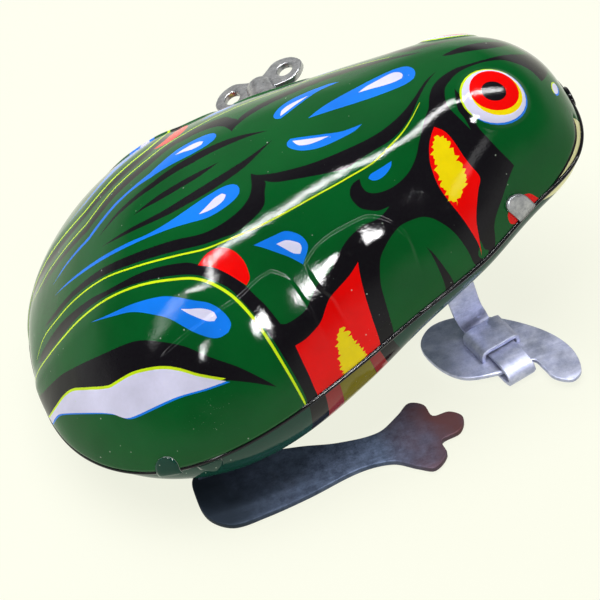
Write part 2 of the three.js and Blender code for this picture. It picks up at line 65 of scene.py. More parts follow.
# From tail to snout, evenly spaced. The widths and back heights are the printed output of scratch programs
# that fitted the shell to the photo's outline, which report.md names as a rule that is not met.
HALF_WIDTHS = [27.2, 27, 25.9, 24.1, 21.9, 19.6, 18.3, 16.6, 19.7]
BACK_HEIGHTS = [9.5, 13.7, 16.1, 17, 17, 16.5, 16.7, 19.6, 20.7]
BELLY_DEPTHS = [3, 5, 6.6, 6.8, 5.8, 4.2, 3.2, 3.2, 3.6]
PLAN_POWER = 2.5  # of the superellipse that is the shells' plan
RIDGE_POWER = 2.1  # of the back's line, where it comes down at the tail and the snout
ACROSS_POWER = 2.2  # of the place across, in a cross-section
HEIGHT_POWER = 1.3  # of the height, in a cross-section
TIN = 0.5
BELLY_INSET = 0.4
GAP = 0.3
LEG_AXLE = {"x": -18.1, "z": -0.1}
WINDING_SHAFT = {"x": 4, "z": 3.4, "radius": 1.2}
REAR_SHEET = 0.8
EAR_OUT = 17
FRONT_STRIP = {"width": 3.7, "thickness": 0.5}
FRONT_PLATE = {"low": 0.8, "thickness": 0.6}

# The body frame leans back by PITCH about the seam's centre, and the ground frame lies under it.
LEAN = Matrix.Rotation(-PITCH, 4, "Y")
axle_low, axle_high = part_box("leg_axle")
seam_centre = (axle_low + axle_high) / 2 - LEAN @ Vector((LEG_AXLE["x"], 0, LEG_AXLE["z"])) * MM
BODY = Matrix.Translation(seam_centre) @ LEAN @ Matrix.Scale(MM, 4)
GROUND = Matrix.Translation((seam_centre.x, seam_centre.y, 0)) @ Matrix.Scale(MM, 4)
seam_height = seam_centre.z / MM


def placed(points, place):
    matrix = np.array(place)
    return np.asarray(points, float) @ matrix[:3, :3].T + matrix[:3, 3]


def unit(vectors):
    return vectors / np.maximum(np.linalg.norm(vectors, axis=-1, keepdims=True), 1e-12)


def turned(normals, place):
    return unit(np.asarray(normals, float) @ np.array(place)[:3, :3].T)


# Materials


def linear(red, green, blue):
    """A screen colour, 0 to 255, as the linear values that a shader takes."""
    shares = [value / 255 for value in (red, green, blue)]
    return [v / 12.92 if v <= 0.04045 else ((v + 0.055) / 1.055) ** 2.4 for v in shares]


def feed(tree, value, entry):
    """Links a socket to a node's input, or gives the input a plain value."""
    if isinstance(value, bpy.types.NodeSocket):
        tree.links.new(value, entry)
    else:
        entry.default_value = value


def add_node(tree, kind, inputs=None, **settings):
    made = tree.nodes.new(kind)
    for key, value in settings.items():
        setattr(made, key, value)
    for key, value in (inputs or {}).items():
        feed(tree, value, made.inputs[key])
    return made


class Shader:
    """A material's node tree, with one call to add a node and wire its inputs."""

    def __init__(self, name):
        self.material = bpy.data.materials.new(name)
        self.material.use_nodes = True
        self.tree = self.material.node_tree
        self.tree.nodes.clear()
        self.where = self.add("ShaderNodeTexCoord").outputs["Object"]

    def add(self, kind, inputs=None, **settings):
        return add_node(self.tree, kind, inputs, **settings)

    def stretched(self, scale, turn=(0, 0, 0)):
        inputs = {"Vector": self.where, "Scale": scale, "Rotation": turn}
        return self.add("ShaderNodeMapping", inputs).outputs[0]

    def noise(self, scale, detail=3, where=None, roughness=0.55):
        inputs = {"Vector": where or self.where, "Scale": scale, "Detail": detail, "Roughness": roughness}
        return self.add("ShaderNodeTexNoise", inputs).outputs["Fac"]

    def cells(self, scale, where=None):
        inputs = {"Vector": where or self.where, "Scale": scale}
        return self.add("ShaderNodeTexVoronoi", inputs).outputs["Distance"]

    def span(self, value, low, high, to_low=0.0, to_high=1.0):
        inputs = {"Value": value, "From Min": low, "From Max": high, "To Min": to_low, "To Max": to_high}
        return self.add("ShaderNodeMapRange", inputs).outputs[0]

    def times(self, first, second):
        return self.add("ShaderNodeMath", {0: first, 1: second}, operation="MULTIPLY").outputs[0]

    def most(self, first, second):
        return self.add("ShaderNodeMath", {0: first, 1: second}, operation="MAXIMUM").outputs[0]

    def mix(self, share, first, second, blend="MIX"):
        made = self.add("ShaderNodeMix", {0: share}, data_type="RGBA", blend_type=blend)
        for index, value in ((6, first), (7, second)):
            socket = isinstance(value, bpy.types.NodeSocket)
            feed(self.tree, value if socket else (*value, 1), made.inputs[index])
        return made.outputs[2]

    def bump(self, height, distance, normal=None):
        inputs = {"Height": height, "Distance": distance, "Strength": 1.0}
        if normal:
            inputs["Normal"] = normal
        return self.add("ShaderNodeBump", inputs).outputs[0]

    def finish(self, inputs):
        surface = self.add("ShaderNodeBsdfPrincipled", inputs)
        output = self.add("ShaderNodeOutputMaterial")
        self.tree.links.new(surface.outputs[0], output.inputs["Surface"])
        return self.material

    def scratches(self, length, width, turn, amount):
        """Short fine lines along one direction, as a mask."""
        where = self.stretched((1 / length, 1 / width, 1 / width), turn)
        lines = self.span(self.cells(1.0, where), 0.0, 0.09, 1.0, 0.0)
        return self.times(lines, self.span(self.noise(90, 2), 0.62 - amount, 0.72 - amount))


def printed_tin():
    """Litho print under a hard clear varnish, with pinholes, dust specks and fine scratches in it."""
    s = Shader("printed_tin")
    ink = s.add("ShaderNodeAttribute", attribute_name="ink").outputs["Color"]
    cloud = s.span(s.noise(110, 4), 0.3, 0.7, 0.86, 1.14)
    clouded = s.add("ShaderNodeCombineColor", {0: cloud, 1: cloud, 2: cloud}).outputs[0]
    colour = s.mix(1.0, ink, clouded, "MULTIPLY")
    grain = s.span(s.noise(2600, 2), 0.35, 0.65, 0.0, 0.5)
    colour = s.mix(s.times(grain, 0.05), colour, linear(60, 78, 70))
    pinholes = s.times(s.span(s.cells(760), 0.04, 0.08, 1.0, 0.0), s.span(s.noise(150, 3), 0.54, 0.58))
    long_marks = s.scratches(0.0014, 0.00022, (0, 0, 0.5), 0.0)
    marks = s.most(long_marks, s.scratches(0.0011, 0.0002, (0.3, 0, 1.9), -0.02))
    worn = s.most(pinholes, marks)
    colour = s.mix(s.times(worn, 0.62), colour, linear(205, 222, 205))
    ripple = s.bump(s.noise(170, 2), 0.00009)
    peel = s.bump(s.noise(4600, 2), 0.0000085, ripple)
    scored = s.bump(s.span(worn, 0, 1, 1, 0), 0.00001, peel)
    return s.finish(
        {
            "Base Color": colour,
            "Roughness": s.span(s.noise(420, 3), 0.3, 0.7, 0.3, 0.46),
            "Specular IOR Level": 0.0,
            "Coat Weight": 1.0,
            "Coat Roughness": 0.052,
            "Coat IOR": 1.29,
            "Normal": peel,
            "Coat Normal": scored,
        }
    )


def sheet_metal(name, light, dark, roughness, grain_turn=0.0, grain=0.35, tarnish=0.0,
                tarnish_colour=(0, 0, 0), stains_and_painted_shade=()):
    """Rolled or drawn metal: mottled colour, grain lines along one direction, scratches and dull patches.
    A stain, and likewise a painted shade, is a colour that sets in along X from one place to another."""
    s = Shader(name)
    mottle = s.span(s.noise(900, 8, roughness=0.82), 0.36, 0.64)
    lines = s.noise(1.0, 3, s.stretched((160, 2600, 2600), (0, 0, grain_turn)), 0.6)
    colour = s.mix(mottle, dark, light)
    colour = s.mix(s.span(lines, 0.3, 0.7, 0.0, grain), colour, [v * 0.45 for v in dark])
    if tarnish:
        patches = s.span(s.noise(95, 5, roughness=0.7), 0.52, 0.7, 0.0, tarnish)
        colour = s.mix(patches, colour, tarnish_colour)
    for start, end, stain_and_shade_colour in stains_and_painted_shade:
        along = s.add("ShaderNodeSeparateXYZ", {0: s.where}).outputs["X"]
        reach = s.times(s.span(along, start, end), s.span(s.noise(130, 4), 0.3, 0.6, 0.4, 1.0))
        colour = s.mix(reach, colour, stain_and_shade_colour)
    long_marks = s.scratches(0.002, 0.00024, (0, 0, 0.35), 0.03)
    marks = s.most(long_marks, s.scratches(0.0016, 0.0002, (0, 0.2, 2.2), 0.0))
    pits = s.times(s.span(s.cells(800), 0.04, 0.1, 1.0, 0.0), s.span(s.noise(180, 1), 0.5, 0.58))
    colour = s.mix(s.times(marks, 0.5), colour, [min(1, v * 2.2 + 0.05) for v in light])
    colour = s.mix(s.times(pits, 0.6), colour, [v * 0.3 for v in dark])
    bumps = s.bump(lines, 0.000012, s.bump(s.noise(260, 3), 0.00004))
    return s.finish(
        {
            "Base Color": colour,
            "Metallic": 0.7,
            "Roughness": s.span(s.noise(300, 4), 0.3, 0.7, roughness - 0.09, roughness + 0.13),
            "Normal": s.bump(s.span(s.most(marks, pits), 0, 1, 1, 0), 0.00001, bumps),
        }
    )


MATERIALS = {
    "printed_tin": printed_tin(),
    "bare_tin": sheet_metal("bare_tin", linear(196, 196, 200), linear(140, 142, 150), 0.3),
    "dark_steel": sheet_metal(
        "dark_steel", linear(94, 108, 134), linear(46, 58, 80), 0.66, 0.35, 0.25, 0.4, linear(74, 64, 70),
        # A brown stain at the toes, then painted shade: the heel darkened as if the body's shadow fell over
        # it.
        [(0.0, 0.007, linear(84, 50, 52)), (-0.004, -0.019, linear(26, 38, 52))],
    ),
    "light_steel": sheet_metal("light_steel", linear(206, 209, 230), linear(158, 164, 194), 0.5, 1.3, 0.2),
    "plated_steel": sheet_metal("plated_steel", linear(205, 206, 208), linear(150, 152, 156), 0.25),
    "brass": sheet_metal(
        "brass", linear(214, 172, 92), linear(160, 118, 52), 0.28, 0.0, 0.3, 0.35, linear(96, 66, 30)
    ),
    "spring_steel": sheet_metal("spring_steel", linear(110, 116, 130), linear(58, 64, 84), 0.27, 0.8, 0.3),
}

INK = {
    "green": linear(3, 88, 35),
    "black": linear(20, 17, 23),
    "blue": linear(22, 128, 248),
    "white": linear(228, 226, 255),
    "line": linear(214, 246, 28),
    "yellow": linear(255, 228, 8),
    "red": linear(252, 4, 3),
    "teal": linear(16, 66, 54),
    "rust": linear(150, 44, 48),
    "olive": linear(128, 118, 26),
    "cream": linear(232, 228, 172),
    "metal": linear(200, 200, 206),
    "sheared": linear(158, 166, 164),
}


# Mesh tools


def add_piece(name, points, faces, body, replaces=(), materials=(), indices=None, normals=None):
    mesh = bpy.data.meshes.new(name)
    mesh.from_pydata([tuple(p) for p in points], [], [tuple(int(i) for i in f) for f in faces])
    for key in materials:
        mesh.materials.append(MATERIALS[key])
    if indices is not None:
        mesh.polygons.foreach_set("material_index", np.asarray(indices, np.int32))
    mesh.polygons.foreach_set("use_smooth", np.ones(len(mesh.polygons), bool))
    mesh.validate()
    mesh.update()
    piece = bpy.data.objects.new(name, mesh)
    bpy.context.scene.collection.objects.link(piece)
    if normals is not None:
        mesh.normals_split_custom_set([tuple(n) for n in normals])
    else:
        piece.modifiers.new("even_normals", "WEIGHTED_NORMAL").weight = 90
    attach(piece, body)
    if replaces:
        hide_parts(*replaces)
    return piece


def add_part(name, part, place, body, finish, replaces=()):
    """Adds a part drawn in millimetres, whose one material has the name of its slot."""
    points, faces = part
    add_piece(name, placed(points, place), faces, body, replaces, [finish])


def ink_corners(piece, colours):
    """Gives every corner of a printed piece its ink."""
    attribute = piece.data.attributes.new("ink", "FLOAT_COLOR", "CORNER")
    attribute.data.foreach_set("color", np.ravel(colours))


def blend(start, end, leave, arrive, t):
    """A point of the cubic curve from start to end that leaves and arrives along two tangents."""
    ends = start * (1 + t * t * (2 * t - 3)) + end * t * t * (3 - 2 * t)
    return ends + leave * t * (1 - t) ** 2 - arrive * t * t * (1 - t)


def smooth_loop(points, step, corner=math.radians(48)):
    """A closed curve through the points, sharp wherever it turns by more than corner."""
    p = np.asarray(points, float)
    count = len(p)
    ahead = np.roll(p, -1, 0) - p
    length = np.linalg.norm(ahead, axis=1)
    out = []
    for i in range(count):
        j = (i + 1) % count
        tangents = []
        for k in (i, j):
            before, after = ahead[k - 1], ahead[k]
            headings = [math.atan2(run[1], run[0]) for run in (before, after)]
            turn = abs(math.remainder(headings[1] - headings[0], math.tau))
            total = length[k - 1] + length[k]
            tangents.append(ahead[i] if turn > corner else (before + after) / total * length[i])
        for t in np.arange(0, 1, 1 / max(1, round(length[i] / step))):
            out.append(blend(p[i], p[j], *tangents, t))
    return np.array(out)


def smooth_line(points, step):
    """An open curve through the points."""
    p = np.asarray(points, float)
    width = p.shape[1]
    ends = np.vstack([2 * p[0] - p[1], p, 2 * p[-1] - p[-2]])
    out = []
    for i in range(1, len(ends) - 2):
        a, b, c, d = ends[i - 1 : i + 3]
        before, here, after = (max(1e-9, np.linalg.norm(q - r)) for q, r in ((b, a), (c, b), (d, c)))
        leave = ((c - b) / here * before + (b - a) / before * here) / (before + here) * here
        arrive = ((d - c) / after * here + (c - b) / here * after) / (here + after) * here
        for t in np.arange(0, 1, 1 / max(1, round(here / step))):
            out.append(blend(b, c, leave, arrive, t))
    out.append(p[-1])
    return np.array(out).reshape(-1, width)


def inset_loop(loop, amount):
    """A closed counter-clockwise loop drawn inwards by an amount."""
    along = np.roll(loop, -1, 0) - np.roll(loop, 1, 0)
    return loop + unit(np.stack([-along[:, 1], along[:, 0]], 1)) * amount


def stroke(points, width, start=0.3, end=0.3):
    """The outline of a brush line, narrowing to shares of its width at its two ends."""
    line = smooth_line(points, 2.0)
    along = np.gradient(line, axis=0)
    side = unit(np.stack([-along[:, 1], along[:, 0]], 1))
    share = np.linspace(0, 1, len(line))
    half = width / 2 * np.minimum(1, np.minimum(start + share * 8, end + (1 - share) * 8))[:, None]
    return np.vstack([line + side * half, (line - side * half)[::-1]])


def ellipse(centre, radii, lean=0.0, count=28):
    angles = np.linspace(0, math.tau, count, endpoint=False)
    flat = np.stack([radii[0] * np.cos(angles), radii[1] * np.sin(angles)], 1)
    cosine, sine = math.cos(lean), math.sin(lean)
    return flat @ np.array([[cosine, sine], [-sine, cosine]]) + np.array(centre)


def inside(polygon, points):
    """Which points lie in the polygon, by counting crossings."""
    low, high = polygon.min(0), polygon.max(0)
    found = np.zeros(len(points), bool)
    near = np.where(((points >= low) & (points <= high)).all(1))[0]
    x, y = points[near, 0], points[near, 1]
    odd = np.zeros(len(near), bool)
    for (x0, y0), (x1, y1) in zip(polygon, np.roll(polygon, -1, 0)):
        if y0 == y1:
            continue
        crosses = (y0 > y) != (y1 > y)
        odd ^= crosses & (x < (x1 - x0) * (y - y0) / (y1 - y0) + x0)
    found[near] = odd
    return found


def distance_to(line, points, closed):
    """How far each point is from the nearest part of a polyline."""
    ends = np.roll(line, -1, 0) if closed else line[1:]
    starts = line if closed else line[:-1]
    best = np.full(len(points), 1e9)
    for start, end in zip(starts, ends):
        along = end - start
        t = np.clip((points - start) @ along / max(along @ along, 1e-12), 0, 1)
        best = np.minimum(best, np.linalg.norm(points - start - t[:, None] * along, axis=1))
    return best


# The shells' surfaces


def along_body(values, c):
    v = np.concatenate([[2 * values[0] - values[1]], values, [2 * values[-1] - values[-2]]])
    place = np.clip((c + 1) / 2, 0, 1) * (len(values) - 1)
    i = np.minimum(place.astype(int), len(values) - 2)
    f = place - i
    before, a, b, after = v[i], v[i + 1], v[i + 2], v[i + 3]
    cube = 3 * a - before - 3 * b + after
    return 0.5 * (2 * a + (b - before) * f + (2 * before - 5 * a + 4 * b - after) * f * f + cube * f**3)


def level_of(a, b):
    """How far out a point of the plan lies, from 0 in the middle to 1 on the rim."""
    return (np.abs(a) ** PLAN_POWER + np.abs(b) ** PLAN_POWER) ** (1 / PLAN_POWER)


def rim_share(value):
    """The plan's rim along one axis, from the cosine or sine of a turn round it."""
    return np.sign(value) * np.abs(value) ** (2 / PLAN_POWER)


def plan(a, b):
    """A print point's shares of the half length and of the half width there, and how far out it lies."""
    level = level_of(a, b)
    spread = np.sin(np.minimum(level, 1) * math.pi / 2)
    share = spread / np.maximum(level, 1e-9)
    return a * share, b * share, spread


def print_place(c, t):
    """The point of the print at a place in the plan, the other way round from plan()."""
    spread = np.clip(level_of(c, t), 1e-9, 1)
    share = np.arcsin(spread) * 2 / math.pi / spread
    return np.stack([c * share, t * share], -1) * 100


def chord(c):
    """The plan's half width, as a share, at a share of the half length."""
    return np.maximum(1 - np.minimum(np.abs(c), 1) ** PLAN_POWER, 1e-9) ** (1 / PLAN_POWER)


def ridge(c, inset=0.0):
    fall = np.maximum(1 - np.abs(c) ** RIDGE_POWER, 0) ** (1 / RIDGE_POWER)
    return (along_body(BACK_HEIGHTS, c) - inset) * fall


def top_surface(a, b, inset=0.0):
    c, t, _ = plan(a, b)
    across = np.minimum(1, np.abs(t) / chord(c))
    z = ridge(c, inset) * (1 - across**ACROSS_POWER) ** (1 / HEIGHT_POWER)
    return np.stack([(HALF_LENGTH - inset) * c, (along_body(HALF_WIDTHS, c) - inset) * t, z], -1)


def belly_surface(a, b, inset=0.0):
    c, t, spread = plan(a, b)
    edge = BELLY_INSET + inset
    z = -GAP - (along_body(BELLY_DEPTHS, c) - inset) * np.sqrt(np.maximum(1 - spread**20, 0))
    return np.stack([(HALF_LENGTH - edge) * c, (along_body(HALF_WIDTHS, c) - edge) * t, z], -1)


INSIDE_RIM = 0.9965  # the level of the outermost points that a slope is measured at


def normals_of(surface, a, b, reach=0.0012):
    shrink = np.minimum(1, INSIDE_RIM / np.maximum(level_of(a, b), 1e-9))
    a, b = a * shrink, b * shrink
    ahead = surface(a + reach, b) - surface(a - reach, b)
    aside = surface(a, b + reach) - surface(a, b - reach)
    return unit(np.cross(ahead, aside))


# The print: its two halves mirror each other about a centre line that drifts to the left towards the tail.
# Its outlines were traced from the photo, seen flattened onto the plan.

DRIFT_AT = [-100, -80, -70, -60, -50, -40, -30, -20, -10, 0, 15, 38, 50, 60, 70, 80, 90, 100]
DRIFT = [20, 16.5, 14.5, 12, 9, 5.5, 3.9, 1.4, 0.2, 0, 1, 3.3, 4.5, 6.5, 9, 8, 4, 0]
MOST_DRIFT = 0.22  # of the half width there


def drift(a):
    limit = chord(a / 100) * 100
    return limit, np.minimum(np.interp(a, DRIFT_AT, DRIFT) / limit, MOST_DRIFT)


def mirrored(outline):
    limit, middle = drift(outline[:, 0])
    share = outline[:, 1] / limit
    return np.stack([outline[:, 0], limit * (2 * middle * np.maximum(1 - share**2, 0) - share)], 1)


def right_half(points):
    """Folds points of the left half over to the right half, where the print and the pressings are drawn."""
    limit, middle = drift(points[:, 0])
    share = np.clip(points[:, 1] / limit, -1, 1)
    middle = np.maximum(middle, 1e-6)
    folded = (np.sqrt(np.maximum(1 - 8 * middle * (share - 2 * middle), 0)) - 1) / (4 * middle)
    return np.stack([points[:, 0], np.where(share > middle, folded, share) * limit], 1)


LINE_A = [
    (-80, 0), (-70, 1.9), (-60, -0.7), (-50, -3.6), (-40, -8), (-30, -15), (-20, -22.3), (-15, -25.7),
    (-10, -27.6), (-5, -29.2), (0, -30.1), (10, -30.5), (16.7, -30.4), (23.4, -29.4), (27.8, -26.4),
    (31, -24.1), (34.5, -20.4), (38, -15.7),
]
LINE_B = [
    (-100, 0), (-90, -4), (-80, -5.4), (-70, -7.5), (-60, -9.7), (-50, -12), (-40, -15.8), (-30, -22.1),
    (-25, -26.4), (-20, -31.4), (-16, -40), (-14.2, -50), (-14, -56), (-14.8, -72), (-17, -88.7),
    (-20, -103),
]
LONG_DROP = [
    (-58, 8.6), (-50, 5.2), (-40, 0.4), (-30, -5.2), (-25, -8.1), (-20, -9.7), (-15, -10.2), (-10, -10.2),
    (-6.2, -10.5), (-4.2, -11.7), (-3.5, -13.7), (-4, -15.9), (-5.5, -17.1), (-8.8, -17.7), (-12, -17.2),
    (-15, -15.4), (-20, -12.2), (-30, -6.6), (-40, -0.9), (-50, 4.4),
]
LONG_DROP_LIGHT = [
    (-13.1, -14.4), (-10.6, -13.4), (-8.8, -12.5), (-7.1, -12.5), (-6.5, -13.7), (-7.3, -15), (-9.3, -15.6),
    (-11.5, -15.2),
]
SIDE_STRIPE = [
    (-37, 2.6), (-30, -0.3), (-20, -4.4), (-10, -5.7), (0, -4.9), (6.5, -2.3), (0, -7.4), (-5, -8.9),
    (-10, -9.2), (-15, -8.4), (-20, -6.9), (-30, -1.7),
]
CENTRE_STRIPE = [
    (-26.6, 2.6), (-20, 2.6), (-10, 0.9), (-5, -0.2), (-10, -1.2), (-15, -0.7), (-20, 0.4), (-23, 1.5),
]
BACK_BAND = [
    (-68, 5), (-60, 2.9), (-50, 0.1), (-40, -4), (-30, -10.2), (-20, -16.7), (-15, -20.4), (-12, -21.6),
    (-8.4, -21.9), (-5, -21.1), (-2.6, -19.1), (-1.3, -16.4), (-0.2, -11.4), (1.7, -16.9), (0.7, -20.4),
    (-0.6, -24.4), (-3.1, -26.1), (-8, -27.1), (-10, -26.4), (-15, -24.1), (-20, -20.7), (-30, -13.7),
    (-40, -6.9), (-50, -2.1), (-60, 0.9),
]
NECK_BAND = [
    (-0.2, -11.4), (0.7, -13), (2.9, -15), (5, -16.4), (10, -18.7), (15, -19.9), (20, -20.3), (23.8, -20.1),
    (27.8, -19.1), (32.7, -16.4), (37.2, -12.4), (41.6, -7.4), (45.2, -5.1), (42, -8.4), (38, -14),
    (34.5, -19.4), (30.9, -23), (27.8, -24.7), (23.8, -25.5), (20, -26.5), (17.6, -27.1), (14.9, -26),
    (12.3, -24.7), (6, -21), (3.4, -19.1), (1.7, -16.7),
]
THIGH_BAND = [
    (-79, -2.5), (-75, -1.6), (-70, -1.9), (-60, -3.7), (-53, -6.1), (-45, -9.7), (-40, -12.7),
    (-30, -17.7), (-25, -21.1), (-20, -25.4), (-18.2, -28), (-15.7, -31.8), (-14, -35.5), (-12.6, -39.5),
    (-11.7, -43), (-11.1, -46.7), (-10.4, -50.7), (-10, -55.4), (-9.8, -60), (-10.6, -75), (-13.5, -95),
    (-14, -104), (-20, -104), (-16, -88.7), (-13.8, -72), (-13.2, -56), (-14.3, -44), (-15.6, -38.5),
    (-20, -30), (-30, -21.1), (-40, -14.6), (-50, -10.5), (-60, -8.6), (-75, -5),
]
HEAD_BLACK = [
    (-11, -57), (-9.8, -58.7), (-8.8, -59.7), (-6.2, -60.2), (-3.5, -59.9), (0, -57), (2.3, -55),
    (5, -54.5), (8, -51.5), (12, -48.5), (16, -47.5), (20, -48), (22.9, -46.2), (20.3, -45.7), (18.5, -44),
    (16.8, -41.6), (15.9, -37), (16.5, -34.4), (17.6, -33), (19.2, -32.7), (19, -35), (19.4, -37.7),
    (20.5, -39.3), (22.5, -40.4), (25.2, -40.6), (27.8, -39.7), (30, -38), (32.3, -34.7), (34.3, -30),
    (37.6, -23), (39.4, -19.9), (40.7, -15.5), (42.5, -12), (45, -9.7), (50, -7.7), (54.5, -7), (60, -4.9),
    (65, -2), (70, 0.9), (74.5, 3.6), (78, 6.9), (80, 8.9), (87.4, 5), (86, 1), (84.3, -3), (80, -11),
    (76.9, -15), (74.5, -10.4), (72.3, -8.4), (70, -7.1), (65, -5.4), (60, -6.6), (55, -8.4), (50, -10.7),
    (47.4, -13), (45.2, -15.7), (44, -21.7), (44.3, -25), (46.3, -32), (47.8, -36.5), (47, -31),
    (46.2, -27), (46.9, -21), (47.5, -17.6), (48, -22), (48.2, -27), (49.5, -34.5), (50.9, -39.4),
    (54.5, -47.4), (58.9, -55), (56.3, -59.7), (54, -64.7), (51.2, -70.7), (50.7, -74.7), (51.4, -78.7),
    (53, -86), (55, -104), (-12, -104),
]
HEAD_GREEN = [
    (45.2, -76), (45.6, -77.4), (47.8, -82.7), (50, -85.4), (50, -90.7), (47.4, -87.4), (45, -82.7),
]
ARM = [
    (14.7, -104), (14.3, -85), (14.5, -73.4), (14.9, -68), (16.7, -60.7), (18.5, -58), (21.2, -55.4),
    (23.8, -54), (27.8, -54.4), (30, -55.4), (32.3, -58), (36.3, -65.4), (40, -75.4), (43.4, -85.4),
    (47.4, -93.7), (50, -104),
]
ARM_WEDGE = [
    (28.5, -65.7), (29.4, -69.4), (31.4, -80), (33.8, -92), (36, -104), (40, -104), (36.3, -89.4),
    (32.9, -78.7), (30, -69.4),
]
CRESCENT = [
    (-18.2, -28.4), (-16.5, -27.4), (-14.5, -27.1), (-12.5, -28), (-11, -29.9), (-10, -32.5), (-9.5, -36),
    (-9.7, -39), (-10.3, -41.6), (-11.6, -42.6), (-12.6, -39.5), (-14, -35.5), (-15.7, -31.8),
]
SIDE_RED = [
    (-9.8, -67.7), (-7, -68.1), (-4, -67.4), (-1.7, -66.4), (1.4, -62.7), (3, -61.3), (6, -60.2), (9, -59),
    (11.8, -57), (11.2, -60), (10.5, -65.4), (10, -72), (9.6, -82), (9.4, -104), (-15, -104), (-12.6, -88),
    (-11.5, -81.4),
]
SIDE_FLAME = [
    (2.3, -73.4), (0.5, -74), (-0.6, -76), (-2, -81.4), (-3.7, -89.4), (-4.4, -104), (4.6, -104),
    (4.2, -94.7), (4.3, -90), (3.7, -87.4), (3.8, -84.7), (2.9, -81.7), (3.2, -80), (2.7, -78), (2.9, -76),
    (2, -75),
]
CHEEK_RED = [
    (38.9, -28), (37.8, -29.7), (36.5, -32.4), (35.6, -35.7), (35, -40), (35.4, -48), (37.2, -55.4),
    (39.4, -62), (42, -70), (44.7, -78), (46.7, -84.7), (45.2, -78), (44, -68.7), (44.3, -64),
    (45.8, -57.4), (47.1, -53.7), (45.2, -48), (43.8, -43.4), (42, -35), (40.7, -31),
]
CHEEK_FLAME = [
    (38.9, -31.4), (37.4, -33), (36.5, -35.7), (36, -46), (36.9, -52.7), (37.6, -55), (38.9, -57.4),
    (39.4, -55.7), (40.7, -55), (41.6, -54), (42.7, -52.7), (42.9, -50.7), (43.6, -49.5), (42.9, -48),
    (42.9, -46), (42.3, -44), (42, -42), (41.4, -40.7), (41.8, -39.7), (41.2, -37), (40.7, -34.4),
    (39.8, -32.4),
]
SMALL_DROP = [
    (8.7, -8.4), (8.9, -6.4), (9.8, -5.4), (11.4, -6.4), (16.7, -10.4), (20, -12.4), (24.3, -12.9),
    (22.5, -14.4), (20, -15), (16.7, -15.2), (14, -14.7), (11.8, -13.4), (10, -11.4),
]
SMALL_DROP_LIGHT = [
    (10, -6.7), (14, -9.7), (17.1, -11.9), (14.9, -11.9), (12.7, -11.4), (10.9, -10), (10.3, -8.4),
]
CENTRE_DROP = [
    (14.9, 0.8), (17.6, 2.9), (21.2, 4.9), (28.7, 7.9), (32.3, 8.9), (34.9, 9.1), (37.6, 8.4), (39.4, 6.6),
    (40.5, 2.9), (40.3, -0.4), (39.4, -2.7), (37.2, -3.5), (34, -3.1), (25.6, -1.7), (17.6, 0.1),
]
CENTRE_DROP_LIGHT = [
    (26.7, 3.6), (28.7, 5.3), (31.4, 6.3), (34.5, 7.1), (36, 6.8), (37.2, 4.9), (37.5, 2.6), (36.9, 0.9),
    (34.9, 0.9), (32.3, 1.7), (29.6, 2.8),
]
CHEST_DROP = [
    (-6.2, -33.7), (-1.7, -34.7), (0.7, -35.4), (2.3, -37.4), (3.4, -40), (3.7, -42.7), (3.2, -44.4),
    (0.9, -47.5), (-0.8, -43.4), (-2.2, -40.7), (-5.1, -35.4),
]
CHEST_DROP_LIGHT = [
    (-2, -37.4), (0, -38), (1.6, -40), (2.3, -41.4), (2.2, -43), (1.4, -44.2), (0.3, -43), (-0.8, -40.4),
]
HOOK_DROP = [
    (20.9, -34), (21.6, -33), (23.4, -32.7), (26.9, -31.9), (26.3, -33.7), (24.7, -35.4), (22.9, -36),
    (21.6, -35.4),
]
THIGH_DROP = [
    (-47.5, -16.9), (-41.7, -20.4), (-35, -24.1), (-29.3, -28.1), (-26.6, -30.7), (-22.2, -37.1),
    (-20.2, -40), (-18.8, -44), (-18.4, -47.4), (-18.8, -49.5), (-20.2, -50.7), (-22.2, -50.4),
    (-24, -48.7), (-26.6, -43.4), (-29.3, -36), (-31.3, -32.5), (-36, -26), (-41.3, -21.7),
]
THIGH_DROP_LIGHT = [
    (-26, -36), (-24.4, -37.7), (-22.6, -39.4), (-21.1, -41.4), (-20.3, -43.4), (-20.4, -45),
    (-21.3, -45.4), (-22.6, -44), (-25.1, -38.7),
]
THIGH_BLACK = [
    (-104, -5), (-90, -12.4), (-80, -15.7), (-66.7, -19.4), (-60, -22.4), (-50, -27.6), (-41.7, -31.9),
    (-38.6, -34), (-35.5, -37.4), (-30, -45.4), (-26.6, -53.4), (-23.1, -61.4), (-20.4, -70.7),
    (-19.4, -75.7), (-23.1, -68.7), (-27.7, -61.7), (-34, -54), (-45, -43), (-60, -34), (-80, -27),
    (-104, -23),
]
LEAF = [
    (-104, -20), (-95, -22.4), (-90, -24.4), (-80, -25.7), (-70, -26.4), (-65, -28), (-60, -32),
    (-52.9, -38), (-50, -39), (-45, -40.7), (-40, -44), (-36.8, -47), (-34.2, -50.7), (-32, -55),
    (-27.5, -62.4), (-32.4, -60), (-40, -55.7), (-52.9, -51), (-55.1, -49.4), (-57.8, -44.7), (-65, -38),
    (-75, -30.7), (-80, -28.4), (-90, -27.4), (-104, -25),
]
CROWN_WEDGE = [
    (48.5, 3.3), (56.7, 8.3), (65, 12.6), (70, 15.6), (72.3, 12.9), (67.8, 7.6), (61.2, 3.6), (51.4, 1.9),
]
MOUTH = [
    (91.5, -26), (90.9, -32), (89.6, -38.7), (87.4, -45.4), (85.2, -51.4), (82.9, -57.4), (80.3, -64),
    (78, -70),
]
MOUTH_CORNER = [
    (56.4, -73), (57, -76), (59, -79.5), (62.5, -82.5), (68, -90), (80, -80), (75, -76.5), (70, -72.3),
    (65.5, -68.8), (62.4, -68.2), (59, -66.5),
]
EYE = {"centre": (57.6, -25.3), "radii": (9.6, 12.8)}


def shifted(outline, da, db):
    return np.asarray(outline, float) + np.array([da, db])


FLAME_TEETH = 0.8  # about how deep a flame's teeth are, in percent


